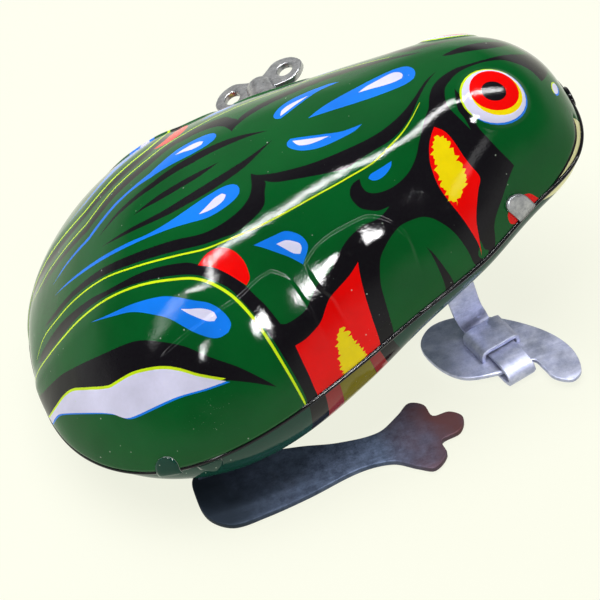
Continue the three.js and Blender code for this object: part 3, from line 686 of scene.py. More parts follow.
def toothed(loop, depth):
    """A closed outline with uneven teeth along it, as the printed flames have."""
    turn = np.arange(len(loop))
    ahead = np.roll(loop, -1, 0) - np.roll(loop, 1, 0)
    out = unit(np.column_stack([ahead[:, 1], -ahead[:, 0]]))
    height = np.sin(turn * 2.6) + 0.8 * np.sin(turn * 1.7) + 0.5 * np.sin(turn * 0.9)
    return loop + out * depth * height[:, None] / 2


def shell_print():
    """The top shell's print as (ink, outline) pairs, the later ones over the earlier ones."""
    drawn = [
        ("blue", LONG_DROP, 0.9),
        ("white", LONG_DROP_LIGHT, 0.7),
        ("black", SIDE_STRIPE, 0.9),
        ("black", BACK_BAND, 0.9),
        ("black", NECK_BAND, 0.9),
        ("black", THIGH_BAND, 0.9),
        ("black", HEAD_BLACK, 0.9),
        ("green", HEAD_GREEN, 0.9),
        ("green", ARM, 0.9),
        ("black", ARM_WEDGE, 0.9),
        ("red", CRESCENT, 0.8),
        ("red", SIDE_RED, 0.9),
        ("yellow", SIDE_FLAME, 0.8),
        ("red", CHEEK_RED, 0.8),
        ("yellow", CHEEK_FLAME, 0.8),
        ("blue", SMALL_DROP, 0.7),
        ("white", SMALL_DROP_LIGHT, 0.7),
        ("blue", CHEST_DROP, 0.7),
        ("white", CHEST_DROP_LIGHT, 0.7),
        ("blue", HOOK_DROP, 0.7),
        ("blue", THIGH_DROP, 0.8),
        ("white", THIGH_DROP_LIGHT, 0.7),
        ("black", THIGH_BLACK, 0.9),
        ("blue", shifted(LEAF, 0.5, -1.0), 0.9),
        ("line", shifted(LEAF, 0.4, 0.8), 0.9),
        ("white", LEAF, 0.9),
        ("line", stroke(LINE_A, 0.5), 1.0),
        ("line", stroke(LINE_B, 0.66), 1.0),
    ]
    mirrored_art = []
    for ink, outline, step in drawn:
        shape = smooth_loop(outline, step)
        mirrored_art.append((ink, toothed(shape, FLAME_TEETH) if ink == "yellow" else shape))
    mirrored_art += [
        ("line", ellipse(shifted(EYE["centre"], -0.35, 0.5), EYE["radii"])),
        ("blue", ellipse(shifted(EYE["centre"], 0.35, -0.6), EYE["radii"])),
        ("white", ellipse(EYE["centre"], shifted(EYE["radii"], -0.15, -0.2))),
        ("yellow", ellipse((58.3, -24.8), (7.6, 10.2))),
        ("red", ellipse((57.9, -23.3), (7.2, 9.6))),
        ("black", ellipse((57.4, -24.1), (3.6, 4.6))),
        ("line", ellipse((83.0, -15.0), (1.5, 4.6), -0.35)),
        ("blue", ellipse((83.7, -15.7), (1.5, 4.6), -0.35)),
        ("white", ellipse((83.35, -15.3), (1.4, 4.2), -0.35)),
        ("cream", smooth_loop([*MOUTH, (84, -80), (104, -60), (108, -26)], 1.0)),
        ("black", smooth_loop(stroke(MOUTH, 1.5), 1.0)),
        ("red", smooth_loop(MOUTH_CORNER, 0.8)),
    ]
    centre_art = [
        ("black", smooth_loop(CENTRE_STRIPE, 0.9)),
        ("blue", smooth_loop(CENTRE_DROP, 0.8)),
        ("white", smooth_loop(CENTRE_DROP_LIGHT, 0.7)),
        ("black", smooth_loop(CROWN_WEDGE, 0.9)),
    ]
    right_and_left = [pair for ink, shape in mirrored_art for pair in ((ink, shape), (ink, mirrored(shape)))]
    return [*right_and_left, *centre_art]


# The pressings raised in the top shell, drawn on the right half

PERCENT = np.array([0.36, 0.27])  # millimetres of sheet to one percent of a and of b
THIGH = [*LINE_B, (-20, -140), (-140, -140), (-140, 0)]
# The next three follow the creases and knobs in the photo. Ten of their points are exactly what a program
# printed when it turned places in the photo into places in the print, and nine more are within 0.4 of that.
# The points out at b = -104, and a few others, were added.
ELBOW = [
    (-44, -43), (-28, -43), (-20.6, -43.4), (-14.2, -44.1), (-9, -43.1), (-5.7, -43.4), (-3.5, -47.4),
    (-2.7, -53.2), (-2.5, -60), (-3, -104), (-44, -104),
]
SHOULDER = [
    (1.3, -51.5), (1.4, -47.6), (4.7, -45.2), (8.7, -44.3), (12.8, -44.5), (17.1, -45.2), (20.5, -48.5),
    (23.2, -54), (25, -62), (26, -104), (4, -104), (3.2, -65), (3, -62), (1.7, -57),
]
KNUCKLES = [((8.3, -51.6), 1.5, 0.16), ((19.8, -53.5), 1.6, 0.18), ((-27, -52), 2.6, 0.14)]


THIGH_RISE = 0.3
THIGH_SLOPE = 2.6  # how wide the thigh's slope is
ARM_SLOPE = 0.34
EYE_RISE = 0.3
MOUTH_DEPTH = 0.22
WAVINESS = 0.035  # of the sheet, everywhere


def step_up(distance, width):
    t = np.clip(distance / width, 0, 1)
    return t * t * (3 - 2 * t)


def depth_in(loop, points):
    """How deep inside a loop each point is, less than 0 outside it."""
    return distance_to(loop, points, True) * np.where(inside(loop, points), 1, -1)


def pressed(a, b):
    """How far the top shell is pressed out at a point of the print, in millimetres."""
    folded = right_half(np.stack([a * 100, b * 100], 1))
    points = folded * PERCENT
    thigh = depth_in(smooth_loop(THIGH, 2.0) * PERCENT, points)
    height = THIGH_RISE * step_up(thigh + THIGH_SLOPE / 2, THIGH_SLOPE)
    fade = step_up(folded[:, 1] + 78, 18) * step_up(folded[:, 0] + 38, 10)
    for outline, rise in ((ELBOW, 0.19), (SHOULDER, 0.21)):
        reach = depth_in(smooth_loop(outline, 2.0) * PERCENT, points)
        sinking = np.exp(-((np.maximum(reach, 0) / 5) ** 2))
        height += rise * step_up(reach + ARM_SLOPE / 2, ARM_SLOPE) * fade * sinking
    for centre, radius, rise in KNUCKLES:
        gap = np.linalg.norm(points - np.array(centre) * PERCENT, axis=1)
        height += rise * np.exp(-((gap / radius) ** 2))
    eye_centre, eye_radii = (np.array(EYE[key]) * PERCENT for key in ("centre", "radii"))
    eye = np.linalg.norm((points - eye_centre) / eye_radii, axis=1)
    height += EYE_RISE * step_up(1.22 - eye, 0.4)
    crease = distance_to(smooth_line(MOUTH, 2.0) * PERCENT, points, False)
    height -= MOUTH_DEPTH * np.exp(-((crease / 0.4) ** 2))
    wobble = np.sin(9 * a + 4 * b + 1) * np.sin(13 * b - 5 * a)
    wobble += 0.6 * np.sin(23 * a + 2) * np.sin(19 * b + 1.3)
    return (height + WAVINESS * wobble) * step_up(1 - level_of(a, b), 0.07)


def top_pressed(a, b, inset=0.0):
    shape = np.shape(a)
    a, b = np.ravel(a), np.ravel(b)
    points = top_surface(a, b, inset) + normals_of(top_surface, a, b) * pressed(a, b)[:, None]
    return points.reshape(*shape, 3)


# Printed sheets


def crease_lines():
    """Loops that run along the sharper pressed edges, so that the sheet has points on their slopes."""
    for outline in (ELBOW, SHOULDER):
        for amount in (-0.62, -0.31, 0, 0.31, 0.62):
            loop = inset_loop(smooth_loop(outline, 0.8), amount)
            loop[:, 1] = np.maximum(loop[:, 1], -86)
            yield loop
            yield mirrored(loop)


RIM_POINTS = 320
ROW_STEP = 0.866  # between the rows of a grid of even triangles, for a side of 1
GRID_LIMIT = 0.985  # the grid's outermost sum of powers, short of the rim, where it is 1
CLEAR_OF_LINES = 0.42  # of the grid's step


def cut_plan(outlines, holes, grid):
    """Triangles over the whole plan whose edges follow every outline, with their corners in percent."""
    angles = np.linspace(0, math.tau, RIM_POINTS, endpoint=False)
    rim = np.stack([rim_share(np.cos(angles)), rim_share(np.sin(angles))], 1) * 100
    loops = [rim, *outlines, *holes]
    drawn = np.vstack(loops)
    tree = kdtree.KDTree(len(drawn))
    for i, (a, b) in enumerate(drawn):
        tree.insert((a, b, 0), i)
    tree.balance()
    points = [tuple(p) for p in drawn]
    edges = []
    start = 0
    for loop in loops:
        count = len(loop)
        edges += [(start + i, start + (i + 1) % count) for i in range(count)]
        start += count
    rows = int(100 / (grid * ROW_STEP))
    for row in range(-rows, rows + 1):
        b = row * grid * ROW_STEP
        for a in np.arange(-100, 100, grid) + (row % 2) * grid / 2:
            within = abs(a / 100) ** PLAN_POWER + abs(b / 100) ** PLAN_POWER < GRID_LIMIT
            if within and tree.find((a, b, 0))[2] > CLEAR_OF_LINES * grid:
                points.append((a, b))
    made = delaunay_2d_cdt([Vector(p) for p in points], edges, [], 0, 1e-5, False)
    corners = np.array([tuple(v) for v in made[0]])
    triangles = np.array([f for f in made[2] if len(f) == 3])
    middle = corners[triangles].mean(1)
    kept = (np.abs(middle / 100) ** PLAN_POWER).sum(1) < 1
    for hole in holes:
        kept &= ~inside(hole, middle)
    a, b, c = (corners[triangles[:, i]] for i in range(3))
    area = (b[:, 0] - a[:, 0]) * (c[:, 1] - a[:, 1]) - (b[:, 1] - a[:, 1]) * (c[:, 0] - a[:, 0])
    triangles = np.where((area > 0)[:, None], triangles, triangles[:, ::-1])[kept & (np.abs(area) > 1e-7)]
    used, flat = np.unique(triangles, return_inverse=True)
    return corners[used], flat.reshape(-1, 3)


def printed_sheet(name, surface, art, base, holes, grid, outward, replaces):
    """A pressed tin sheet, printed outside and bare inside, with a round black edge at its rim and holes."""
    creases = list(crease_lines()) if surface is top_pressed else []
    corners, triangles = cut_plan([*(shape for _, shape in art), *creases], holes, grid)
    a, b = corners[:, 0] / 100, corners[:, 1] / 100
    outer, inner = surface(a, b), surface(a, b, TIN)
    normal = normals_of(surface, a, b) * outward
    count = len(corners)
    if outward < 0:
        triangles = triangles[:, ::-1]
    middle = corners[triangles].mean(1)
    inks = np.tile(INK[base], (len(triangles), 1))
    for ink, shape in art:
        inks[inside(shape, middle)] = INK[ink]

    edges = np.vstack([triangles[:, [0, 1]], triangles[:, [1, 2]], triangles[:, [2, 0]]])
    third = np.concatenate([triangles[:, 2], triangles[:, 0], triangles[:, 1]])
    keys = np.sort(edges, 1) @ np.array([count, 1])
    _, first, uses = np.unique(keys, return_index=True, return_counts=True)
    border = first[uses == 1]
    away = np.zeros((count, 3))
    for (i, j), k in zip(edges[border], third[border]):
        along = outer[j] - outer[i]
        out = outer[i] - outer[k]
        out -= along * (out @ along) / max(along @ along, 1e-12)
        for vertex in (i, j):
            away[vertex] += out / max(np.linalg.norm(out), 1e-12)
    rim = np.unique(edges[border])
    place = {int(v): n for n, v in enumerate(rim)}
    direction = unit(away[rim])
    half = (outer[rim] - inner[rim]) / 2
    radius = np.linalg.norm(half, axis=1, keepdims=True)
    points, normals = [outer, inner], [normal, -normal]
    turns = [math.pi / 4, math.pi / 2, 3 * math.pi / 4]
    for turn in turns:
        out = half * math.cos(turn) + direction * radius * math.sin(turn)
        points.append((outer[rim] + inner[rim]) / 2 + out)
        normals.append(unit(out))
    points, normals = np.vstack(points), np.vstack(normals)
    faces = [tuple(t) for t in triangles] + [tuple(t[::-1] + count) for t in triangles]
    kinds = [0] * len(triangles) + [1] * len(triangles)
    ring = len(rim)

    def rung(vertex, step):
        if step in (0, len(turns) + 1):
            return int(vertex) + (count if step else 0)
        return 2 * count + (step - 1) * ring + place[int(vertex)]

    for i, j in edges[border]:
        for step in range(len(turns) + 1):
            faces.append((rung(j, step), rung(i, step), rung(i, step + 1), rung(j, step + 1)))
            kinds.append(0)
    corner_normals = turned(normals, BODY)[np.concatenate([np.array(f) for f in faces])]
    piece = add_piece(
        name, placed(points, BODY), faces, "root", replaces,
        ("printed_tin", "bare_tin"), kinds, corner_normals,
    )
    # Every corner starts black, and the round edges at the rim and the holes keep it: painted shade, standing
    # for the dark gap between the shells at the seam.
    colours = np.tile([*INK["black"], 1.0], (len(piece.data.loops), 1))
    colours[: 3 * len(triangles), :3] = np.repeat(inks, 3, 0)
    ink_corners(piece, colours)


def shaft_hole():
    """The hole in the left side for the winding shaft, as an outline in the print."""
    circle = ellipse((WINDING_SHAFT["x"], WINDING_SHAFT["z"]), (WINDING_SHAFT["radius"] + 0.4,) * 2)
    c = circle[:, 0] / HALF_LENGTH
    across = (1 - (circle[:, 1] / ridge(c)) ** HEIGHT_POWER) ** (1 / ACROSS_POWER)
    return print_place(c, across * chord(c))


def ear_slot(side):
    """The slot in the belly that a rear leg's ear passes through."""
    low, high = EAR_OUT - 0.5, EAR_OUT + REAR_SHEET + 0.5
    corners = [(-25.5, low), (-13, low), (-13, high), (-25.5, high)]
    sides = zip(corners, corners[1:] + corners[:1])
    points = np.array([np.array(p) + (np.array(q) - p) * t for p, q in sides for t in np.arange(0, 1, 1 / 8)])
    c = points[:, 0] / (HALF_LENGTH - BELLY_INSET)
    t = side * points[:, 1] / (along_body(HALF_WIDTHS, c) - BELLY_INSET)
    return print_place(c, t)


def band(start, end, lean, reach):
    """A straight band of the belly's print, from the seam inwards to b = -reach, leaning back."""
    outline = [(start, -104), (end, -104), (end - lean, -reach), (start - lean, -reach)]
    return smooth_loop(outline, 2.0, corner=0.1)


def belly_print():
    art = [
        ("black", band(-18, -12, 3, 55)),
        ("rust", band(-12, -6.5, 3, 62)),
        ("olive", band(-6.5, 5, 3, 66)),
        ("rust", band(5, 9, 3, 62)),
        ("black", band(9, 14, 3, 58)),
    ]
    jaw = [(74, -104), (74, -60), (78, -30), (80, 0), (78, 30), (74, 60), (74, 104)]
    chin = smooth_loop([*jaw, (108, 104), (108, -104)], 2)
    return [*((ink, side) for ink, shape in art for side in (shape, shape * [1, -1])), ("cream", chin)]


printed_sheet(
    "top_shell_print", top_pressed, shell_print(), "green", [shaft_hole()], 0.95, 1, ["top_shell"]
)
ear_slots = [ear_slot(1), ear_slot(-1)]
printed_sheet(
    "belly_shell_print", belly_surface, belly_print(), "teal", ear_slots, 2.2, -1, ["belly_shell"]
)


# Flat and bent sheet pieces


def area_of(loop):
    x, y = loop[:, 0], loop[:, 1]
    return 0.5 * (x @ np.roll(y, -1) - y @ np.roll(x, -1))


def bands(count, rows, base=0):
    """The faces between rows of points, each row a closed loop of count points."""
    starts = [base + row * count for row in range(rows)]
    pairs = [(first + i, first + (i + 1) % count) for first in starts for i in range(count)]
    return [(i, j, j + count, i + count) for i, j in pairs]


def ring_surface(rows):
    """A closed tube of faces between rows of points, each row a closed loop, with its two ends capped."""
    count = len(rows[0])
    last = (len(rows) - 1) * count
    caps = [tuple(range(count))[::-1], tuple(last + i for i in range(count))]
    return np.vstack(rows), bands(count, len(rows) - 1) + caps


def plate(outline, low, high, round_off=0.14, holes=()):
    """A flat plate with rounded edges between two heights. Returns points (x, y, height) and faces."""
    loops = [outline if area_of(outline) > 0 else outline[::-1]]
    loops += [hole if area_of(hole) < 0 else hole[::-1] for hole in holes]
    profile = []
    for i in range(4):
        turn = math.pi / 2 * i / 3
        profile.append((round_off * (1 - math.sin(turn)), low + round_off * (1 - math.cos(turn))))
    profile += [(inset, high + low - height) for inset, height in reversed(profile)]
    points, faces, caps = [], [], {0: [], len(profile) - 1: []}
    for loop in loops:
        count = len(loop)
        base = sum(len(p) for p in points)
        for level, (inset, height) in enumerate(profile):
            ring = inset_loop(loop, inset)
            points.append(np.column_stack([ring, np.full(count, height)]))
            if level in caps:
                caps[level].append((base + level * count, ring))
        faces += bands(count, len(profile) - 1, base)
    for level, rings in caps.items():
        ids = [first + i for first, ring in rings for i in range(len(ring))]
        for triangle in tessellate_polygon([[Vector((*p, 0)) for p in ring] for _, ring in rings]):
            a, b, c = (np.array(np.vstack([ring for _, ring in rings])[i]) for i in triangle)
            turn = (b - a)[0] * (c - a)[1] - (b - a)[1] * (c - a)[0]
            facing_up = level > 0
            order = triangle if (turn > 0) == facing_up else triangle[::-1]
            faces.append(tuple(ids[i] for i in order))
    return np.vstack(points), faces


def swept_strip(stations, width, thickness, corner=0.12, step=0.5):
    """A strip with rounded corners, swept along stations: a middle point and a direction across it."""
    line = smooth_line([[*at, *(np.array(across) / np.linalg.norm(across))] for at, across in stations], step)
    middle, across = line[:, :3], line[:, 3:]
    along = np.gradient(middle, axis=0)
    section = []
    for u, v, start in ((1, -1, -math.pi / 2), (1, 1, 0), (-1, 1, math.pi / 2), (-1, -1, math.pi)):
        for i in range(3):
            turn = start + i * math.pi / 4
            x = u * (width / 2 - corner) + corner * math.cos(turn)
            section.append((x, v * (thickness / 2 - corner) + corner * math.sin(turn)))
    rows = []
    for here, aside, ahead in zip(middle, across, along):
        ahead = ahead / np.linalg.norm(ahead)
        aside = aside - ahead * (aside @ ahead)
        aside /= np.linalg.norm(aside)
        up = np.cross(ahead, aside)
        rows.append([here + aside * x + up * y for x, y in section])
    return ring_surface(rows)


def joined(*parts):
    points, faces, start = [], [], 0
    for part_points, part_faces in parts:
        points.append(part_points)
        faces += [tuple(i + start for i in face) for face in part_faces]
        start += len(part_points)
    return np.vstack(points), faces


def on_side(part, side):
    points, faces = part
    if side > 0:
        return part
    return points * [1, -1, 1], [face[::-1] for face in faces]


def turned_piece(profile, x, z, count):
    """A turned piece about an axis along Y, from rows of radius and place along it."""
    rings = [(ellipse((x, z), (radius, radius), count=count), y) for radius, y in profile]
    return ring_surface([np.column_stack([ring[:, 0], np.full(count, y), ring[:, 1]]) for ring, y in rings])


def to_ground(x, z):
    """A place in the body frame as a place in the ground frame."""
    cosine, sine = math.cos(PITCH), math.sin(PITCH)
    return x * cosine - z * sine, x * sine + z * cosine + seam_height


# Both feet follow points of the photo that a program turned into millimetres
REAR_FOOT = [
    (-12.9, 17.1), (-8, 18.2), (-3.5, 19.6), (1.2, 20.1), (4.2, 18.6), (6, 17.4), (7.6, 18.4), (8, 20.4),
    (10, 20.6), (11.2, 22), (10.2, 23.8), (7.7, 24.4), (7.6, 26.4), (5.6, 27.8), (3.9, 26.8), (1.4, 24.9),
    (-2.5, 24.4), (-9, 25.5), (-14.5, 26.1), (-18.4, 26), (-20.8, 23.8), (-21.4, 20.4), (-20.9, 17.4),
    (-17, 17),
]


def rear_ear():
    """The ear folded up from the foot plate's inner edge: a fillet at the fold, a round top at the axle."""
    pivot_x, pivot_z = to_ground(LEG_AXLE["x"], LEG_AXLE["z"])
    radius = 2.6
    back, front = -20.5, -13.6  # the fold's two ends along X
    cut = 0.12  # off each corner
    fold = [(0.25, 0.4), (0.82, 0.35), (0.95, 0.2), (1.2, 0.1), (1.6, 0.03), (2.1, 0)]
    heights = [*np.linspace(3, pivot_z, 7), *(pivot_z + radius * np.sin(np.linspace(0.2, 1.5, 8)))]
    fold += [(z, 0) for z in heights]
    rows = []
    for z, flare in fold:
        rise = min(1, max(0, (z - 2) / (pivot_z - 2)))
        if z < pivot_z:
            left = back + (pivot_x - radius - back) * rise
            right = front + (pivot_x + radius - front) * rise
        else:
            reach = math.sqrt(max(radius**2 - (z - pivot_z) ** 2, 0.01))
            left, right = pivot_x - reach, pivot_x + reach
        low, high = EAR_OUT + 0.02, EAR_OUT + REAR_SHEET + flare
        rows.append(np.array([
            (left + cut, low, z), (right - cut, low, z), (right, low + cut, z), (right, high - cut, z),
            (right - cut, high, z), (left + cut, high, z), (left, high - cut, z), (left, low + cut, z),
        ]))
    return ring_surface(rows)


def axle_head(side):
    """The riveted end of the leg axle, outside the ear."""
    x, z = to_ground(LEG_AXLE["x"], LEG_AXLE["z"])
    out = EAR_OUT + REAR_SHEET + GAP
    profile = [(0.82, -0.2), (1.25, 0), (1.35, 0.15), (1.2, 0.4), (0.8, 0.62), (0.2, 0.7)]
    points, faces = turned_piece([(radius, side * (out + y)) for radius, y in profile], x, z, 20)
    return points, faces if side < 0 else [face[::-1] for face in faces]


FRONT_FOOT = [
    (10.3, 10), (11, 14), (13.2, 17), (16.6, 18), (19.4, 18.1), (21.8, 17.9), (22.4, 19.4), (23, 21.4),
    (24.8, 22.7), (26.3, 21.8), (26.7, 18.6), (25.5, 15.2), (23, 12), (19.8, 9.3), (16, 7.5), (12.4, 7.6),
]
FRONT_LEG_X = 14
BELLY_ACROSS = (math.cos(PITCH), 0, math.sin(PITCH))
SOLE_ACROSS = (0.97, -0.24, 0)


def front_strip():
    """The front leg: a strip from under the belly, bent down, laid over the foot plate and folded under."""
    half = FRONT_STRIP["thickness"] / 2
    at_c = np.array([(FRONT_LEG_X - FRONT_STRIP["width"] / 2) / HALF_LENGTH])
    under = -GAP - along_body(BELLY_DEPTHS, at_c)[0]
    x, belly = to_ground(FRONT_LEG_X, under - GAP - half)
    top = FRONT_PLATE["low"] + FRONT_PLATE["thickness"] + GAP + half
    flange = [(x, 3, belly), (x, 8.2, belly), (x + 0.2, 8.9, belly - 0.3), (x + 0.5, 9.2, belly - 1)]
    sole = [
        (17.35, 10.4, top + 0.7), (17.5, 10.65, top + 0.2), (17.7, 11.1, top), (19.6, 18.6, top),
        (19.72, 19.1, top - 0.2), (19.8, 19.4, (top + half) / 2), (19.72, 19.1, half + 0.2),
        (19.6, 18.6, half), (18.8, 15.4, half),
    ]
    stations = [(at, BELLY_ACROSS) for at in flange]
    stations.append(((16.8, 10.5, 4.4), (0.98, -0.16, 0.08)))
    stations += [(at, SOLE_ACROSS) for at in sole]
    points, faces = swept_strip(stations, FRONT_STRIP["width"], FRONT_STRIP["thickness"])
    points[:, 2] = np.maximum(points[:, 2], 0.01)
    return points, faces


def front_bridge():
    """The bridge lanced up out of the foot plate, over the strip."""
    top = FRONT_PLATE["low"] + FRONT_PLATE["thickness"]
    sheet = FRONT_PLATE["thickness"]
    side = FRONT_STRIP["width"] / 2 + GAP + sheet / 2
    roof = top + 2 * GAP + FRONT_STRIP["thickness"] + sheet / 2
    path = [
        (-side, top - 0.1), (-side, roof - 0.45), (-side + 0.15, roof - 0.1), (-side + 0.5, roof), (0, roof),
        (side - 0.5, roof), (side - 0.15, roof - 0.1), (side, roof - 0.45), (side, top - 0.1),
    ]
    stations = [((x, 0, z), (0, -1, 0)) for x, z in path]
    points, faces = swept_strip(stations, 4.2, sheet, 0.12, 0.3)
    turn = math.atan2(SOLE_ACROSS[1], SOLE_ACROSS[0])
    spin = np.array([[math.cos(turn), -math.sin(turn), 0], [math.sin(turn), math.cos(turn), 0], [0, 0, 1]])
    return points @ spin.T + [18.3, 13.3, 0], faces


def front_foot_plate():
    low = FRONT_PLATE["low"]
    return plate(smooth_loop(FRONT_FOOT, 0.45, 2.0), low, low + FRONT_PLATE["thickness"])


for side_name, side in (("left", 1), ("right", -1)):
    foot = plate(smooth_loop(REAR_FOOT, 0.4, 2.0), 0, REAR_SHEET, 0.16)
    leg = joined(on_side(foot, side), on_side(rear_ear(), side))
    add_part(f"rear_leg_sheet_{side_name}", leg, GROUND, "rear_legs", "dark_steel", [f"rear_leg_{side_name}"])
    strip = on_side(front_strip(), side)
    add_part(f"front_leg_strip_{side_name}", strip, GROUND, "root", "light_steel", [f"front_leg_{side_name}"])
    foot = joined(on_side(front_foot_plate(), side), on_side(front_bridge(), side))
    add_part(
        f"front_foot_plate_{side_name}", foot, GROUND, "root", "light_steel", [f"front_foot_{side_name}"]
    )
    add_part(f"leg_axle_head_{side_name}", axle_head(side), GROUND, "root", "plated_steel")


# The tabs that hold the shells together along the seam


def seam_at(surface, level, turn):
    return surface(level * rim_share(np.cos(turn)), level * rim_share(np.sin(turn)))


SEAM_TURNS = np.linspace(-math.pi, math.pi, 4001)
seam_points = seam_at(top_surface, 1.0, SEAM_TURNS)
SEAM_RUN = np.cumsum(np.linalg.norm(np.diff(seam_points, axis=0, prepend=0), axis=1))


def on_seam(angle, u, v, lift, surface=top_surface):
    """A point u along the seam from an angle, v up the shell's side from the seam, and lift outside it."""
    levels = np.linspace(1, 0.7, 40)
    reach = 0.02
    turn = np.interp(np.interp(angle, SEAM_TURNS, SEAM_RUN) + u, SEAM_RUN, SEAM_TURNS)

    def at(level, turn):
        return seam_at(surface, np.array(level), np.array(turn))

    line = np.array([at(level, turn) for level in levels])
    run = np.concatenate([[0], np.cumsum(np.linalg.norm(np.diff(line, axis=0), axis=1))])
    here = np.array([np.interp(max(v, 0), run, line[:, k]) for k in range(3)])
    along = at(1, turn + reach) - at(1, turn - reach)
    ahead = np.array([np.interp(max(v, 0) + 0.3, run, line[:, k]) for k in range(3)]) - here
    out = np.cross(along, ahead)
    out /= np.linalg.norm(out)
    if out @ here < 0:
        out = -out
    return here + out * lift + np.array([0, 0, min(v, 0)])


def seam_tab(angle, height, half_width, root, surface=top_surface):
    """A round-ended tab lying against the shell's side."""
    grid = []
    rows = 12
    for i in range(rows + 1):
        v = root + (height - root) * (1 - (1 - i / rows) ** 1.6)
        share = max(0.0, (v - height + half_width) / half_width)
        reach = half_width * math.sqrt(max(0.02, 1 - share**2))
        grid.append([(reach * k / 4, v) for k in range(-4, 5)])
    rows_of_points = []
    for row in grid:
        outside = [on_seam(angle, u, v, TIN * (1.0 if abs(k - 4) < 4 else 0.75), surface)
                   for k, (u, v) in enumerate(row)]
        within = [on_seam(angle, u, v, 0.02, surface) for u, v in row]
        rows_of_points.append(np.array(outside + within[::-1]))
    return ring_surface(rows_of_points)


def seam_roll():
    """The rolled lower edge of the top shell, a thin bead all round the seam, inked black as painted shade of
    the gap between the shells.
    """
    runs = np.linspace(SEAM_RUN[0], SEAM_RUN[-1], 481)[:-1]
    middle = seam_at(top_surface, 1.0, np.interp(runs, SEAM_RUN, SEAM_TURNS))
    ahead = np.roll(middle, -1, 0) - np.roll(middle, 1, 0)
    out = unit(np.column_stack([ahead[:, 1], -ahead[:, 0], 0 * runs]))
    round_bead = np.linspace(0, 2 * math.pi, 11)[:-1]
    radius = 0.28
    rings = [middle + radius * (math.cos(w) * out + math.sin(w) * np.array([0, 0, 1])) for w in round_bead]
    points = np.stack(rings, axis=1).reshape(-1, 3)
    faces = bands(len(round_bead), len(runs))
    return points, [tuple(i % len(points) for i in face)[::-1] for face in faces]


roll_points, roll_faces = seam_roll()
roll = add_piece("top_shell_rolled_edge", placed(roll_points, BODY), roll_faces, "root", (),
                 ["printed_tin"])
# Black all over: painted shade of the dark gap between the shells at the seam.
ink_corners(roll, np.tile([*INK["black"], 1.0], len(roll.data.loops)))


# A row of a tab's points has nine outside and nine within, and the faces between are its sheared edge
TAB_RING = 18
TAB_EDGES = (8, 17)
# Degrees round the seam from the snout: ink, height, half width, how far it starts above the seam, its shell.
# The angles 118 and 127 are a scratch program's output, rounded, as report.md says.
TABS = {0: ("black", 0.8, 1.7, -0.5, top_surface)}
for side in (1, -1):
    TABS |= {
        side * 51: ("metal", 3.4, 1.35, 0.2, top_surface),
        side * 118: ("teal", 1.9, 1.45, 0.0, belly_surface),
        side * 127: ("teal", 2.0, 1.45, -0.6, top_surface),
    }
for degrees, (ink, height, half_width, root, surface) in TABS.items():
    tab_points, tab_faces = seam_tab(math.radians(degrees), height, half_width, root, surface)
    name = f"seam_tab_{degrees}".replace("-", "right_")
    tab = add_piece(name, placed(tab_points, BODY), tab_faces, "root", (),
                    ["bare_tin" if ink == "metal" else "printed_tin"])
    edge_ink = INK["sheared"] if ink == "teal" else INK[ink]
    face_inks = [edge_ink if n % TAB_RING in TAB_EDGES or n == len(tab_faces) - 1 else INK[ink]
                 for n in range(len(tab_faces))]
    colours = [(*colour, 1.0) for colour, face in zip(face_inks, tab_faces) for _ in face]
    ink_corners(tab, colours)


# The winding key


def winding_key():
    """Two round wings stamped from sheet and a rolled sleeve on the winding shaft, lying flat at rest."""
    start, wing_start, end = 21.1, 22.5, 27
    sleeve_end, bore_end = 24.6, 23.3
    wing = [(0, wing_start + 0.9), (2.2, wing_start + 0.25), (4.6, wing_start + 0.2), (6.2, wing_start + 2.1),
            (5.2, end - 0.6), (3, end), (1.1, end - 1.1), (0, end - 1.5)]
    outline = wing + [(-x, y) for x, y in wing[::-1][1:-1]]
    holes = [ellipse((side * 3.8, (wing_start + end) / 2), (1.05, 1.05)) for side in (-1, 1)]
    wings = plate(smooth_loop(outline, 0.5, 2.0), -0.5, 0.5, 0.2, holes)
    bore = WINDING_SHAFT["radius"] + GAP
    profile = [
        (bore, bore_end), (bore, start + 0.15), (bore + 0.12, start), (1.78, start), (1.9, start + 0.12),
        (1.9, sleeve_end - 0.4), (1.7, sleeve_end - 0.05), (1.2, sleeve_end), (0.1, sleeve_end),
    ]
    return joined(wings, turned_piece(profile, 0, 0, 28))


key_place = BODY @ Matrix.Translation((WINDING_SHAFT["x"], 0, WINDING_SHAFT["z"]))
add_part("winding_key_sheet", winding_key(), key_place, "winding", "plated_steel", ["winding_key"])

# The CAD's own pieces inside the body keep their shapes and take these finishes
CAD_FINISH = {
    "brass": ["great_wheel", "kick_pinion"],
    "spring_steel": ["mainspring", "click_pawl", "click_spring", "leg_return_spring"],
    "light_steel": ["front_leg_rivet_left", "front_leg_rivet_right"],
}
finish_of = {node: finish for finish, nodes in CAD_FINISH.items() for node in nodes}
for name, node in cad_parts.items():
    if not node.hide_render:
        for material_slot in node.material_slots:
            material_slot.material = MATERIALS[finish_of.get(name, "plated_steel")]


# Floor, light and camera


def pale_floor():
    s = Shader("pale_floor")
    tone = s.span(s.noise(14, 3), 0.3, 0.7)
    colour = s.mix(tone, linear(252, 253, 238), linear(251, 252, 236))
    dimmed = s.mix(0.16, (0, 0, 0), colour)
    glow = {"Emission Color": colour, "Emission Strength": 0.86}
    return s.finish({"Base Color": dimmed, "Roughness": 0.9, "Specular IOR Level": 0.0, **glow})


floor_mesh = bpy.data.meshes.new("floor")
FLOOR = 3.0  # metres from its middle to a side
floor_corners = [(x * FLOOR, y * FLOOR, 0) for x, y in ((-1, -1), (1, -1), (1, 1), (-1, 1))]
floor_mesh.from_pydata(floor_corners, [], [(0, 1, 2, 3)])
floor_mesh.materials.append(pale_floor())
floor = bpy.data.objects.new("floor", floor_mesh)
floor.location.z = cad_box[0][2] - 0.05 * MM
bpy.context.scene.collection.objects.link(floor)

centre = GROUND @ Vector((0.7, 3.1, 17.3))


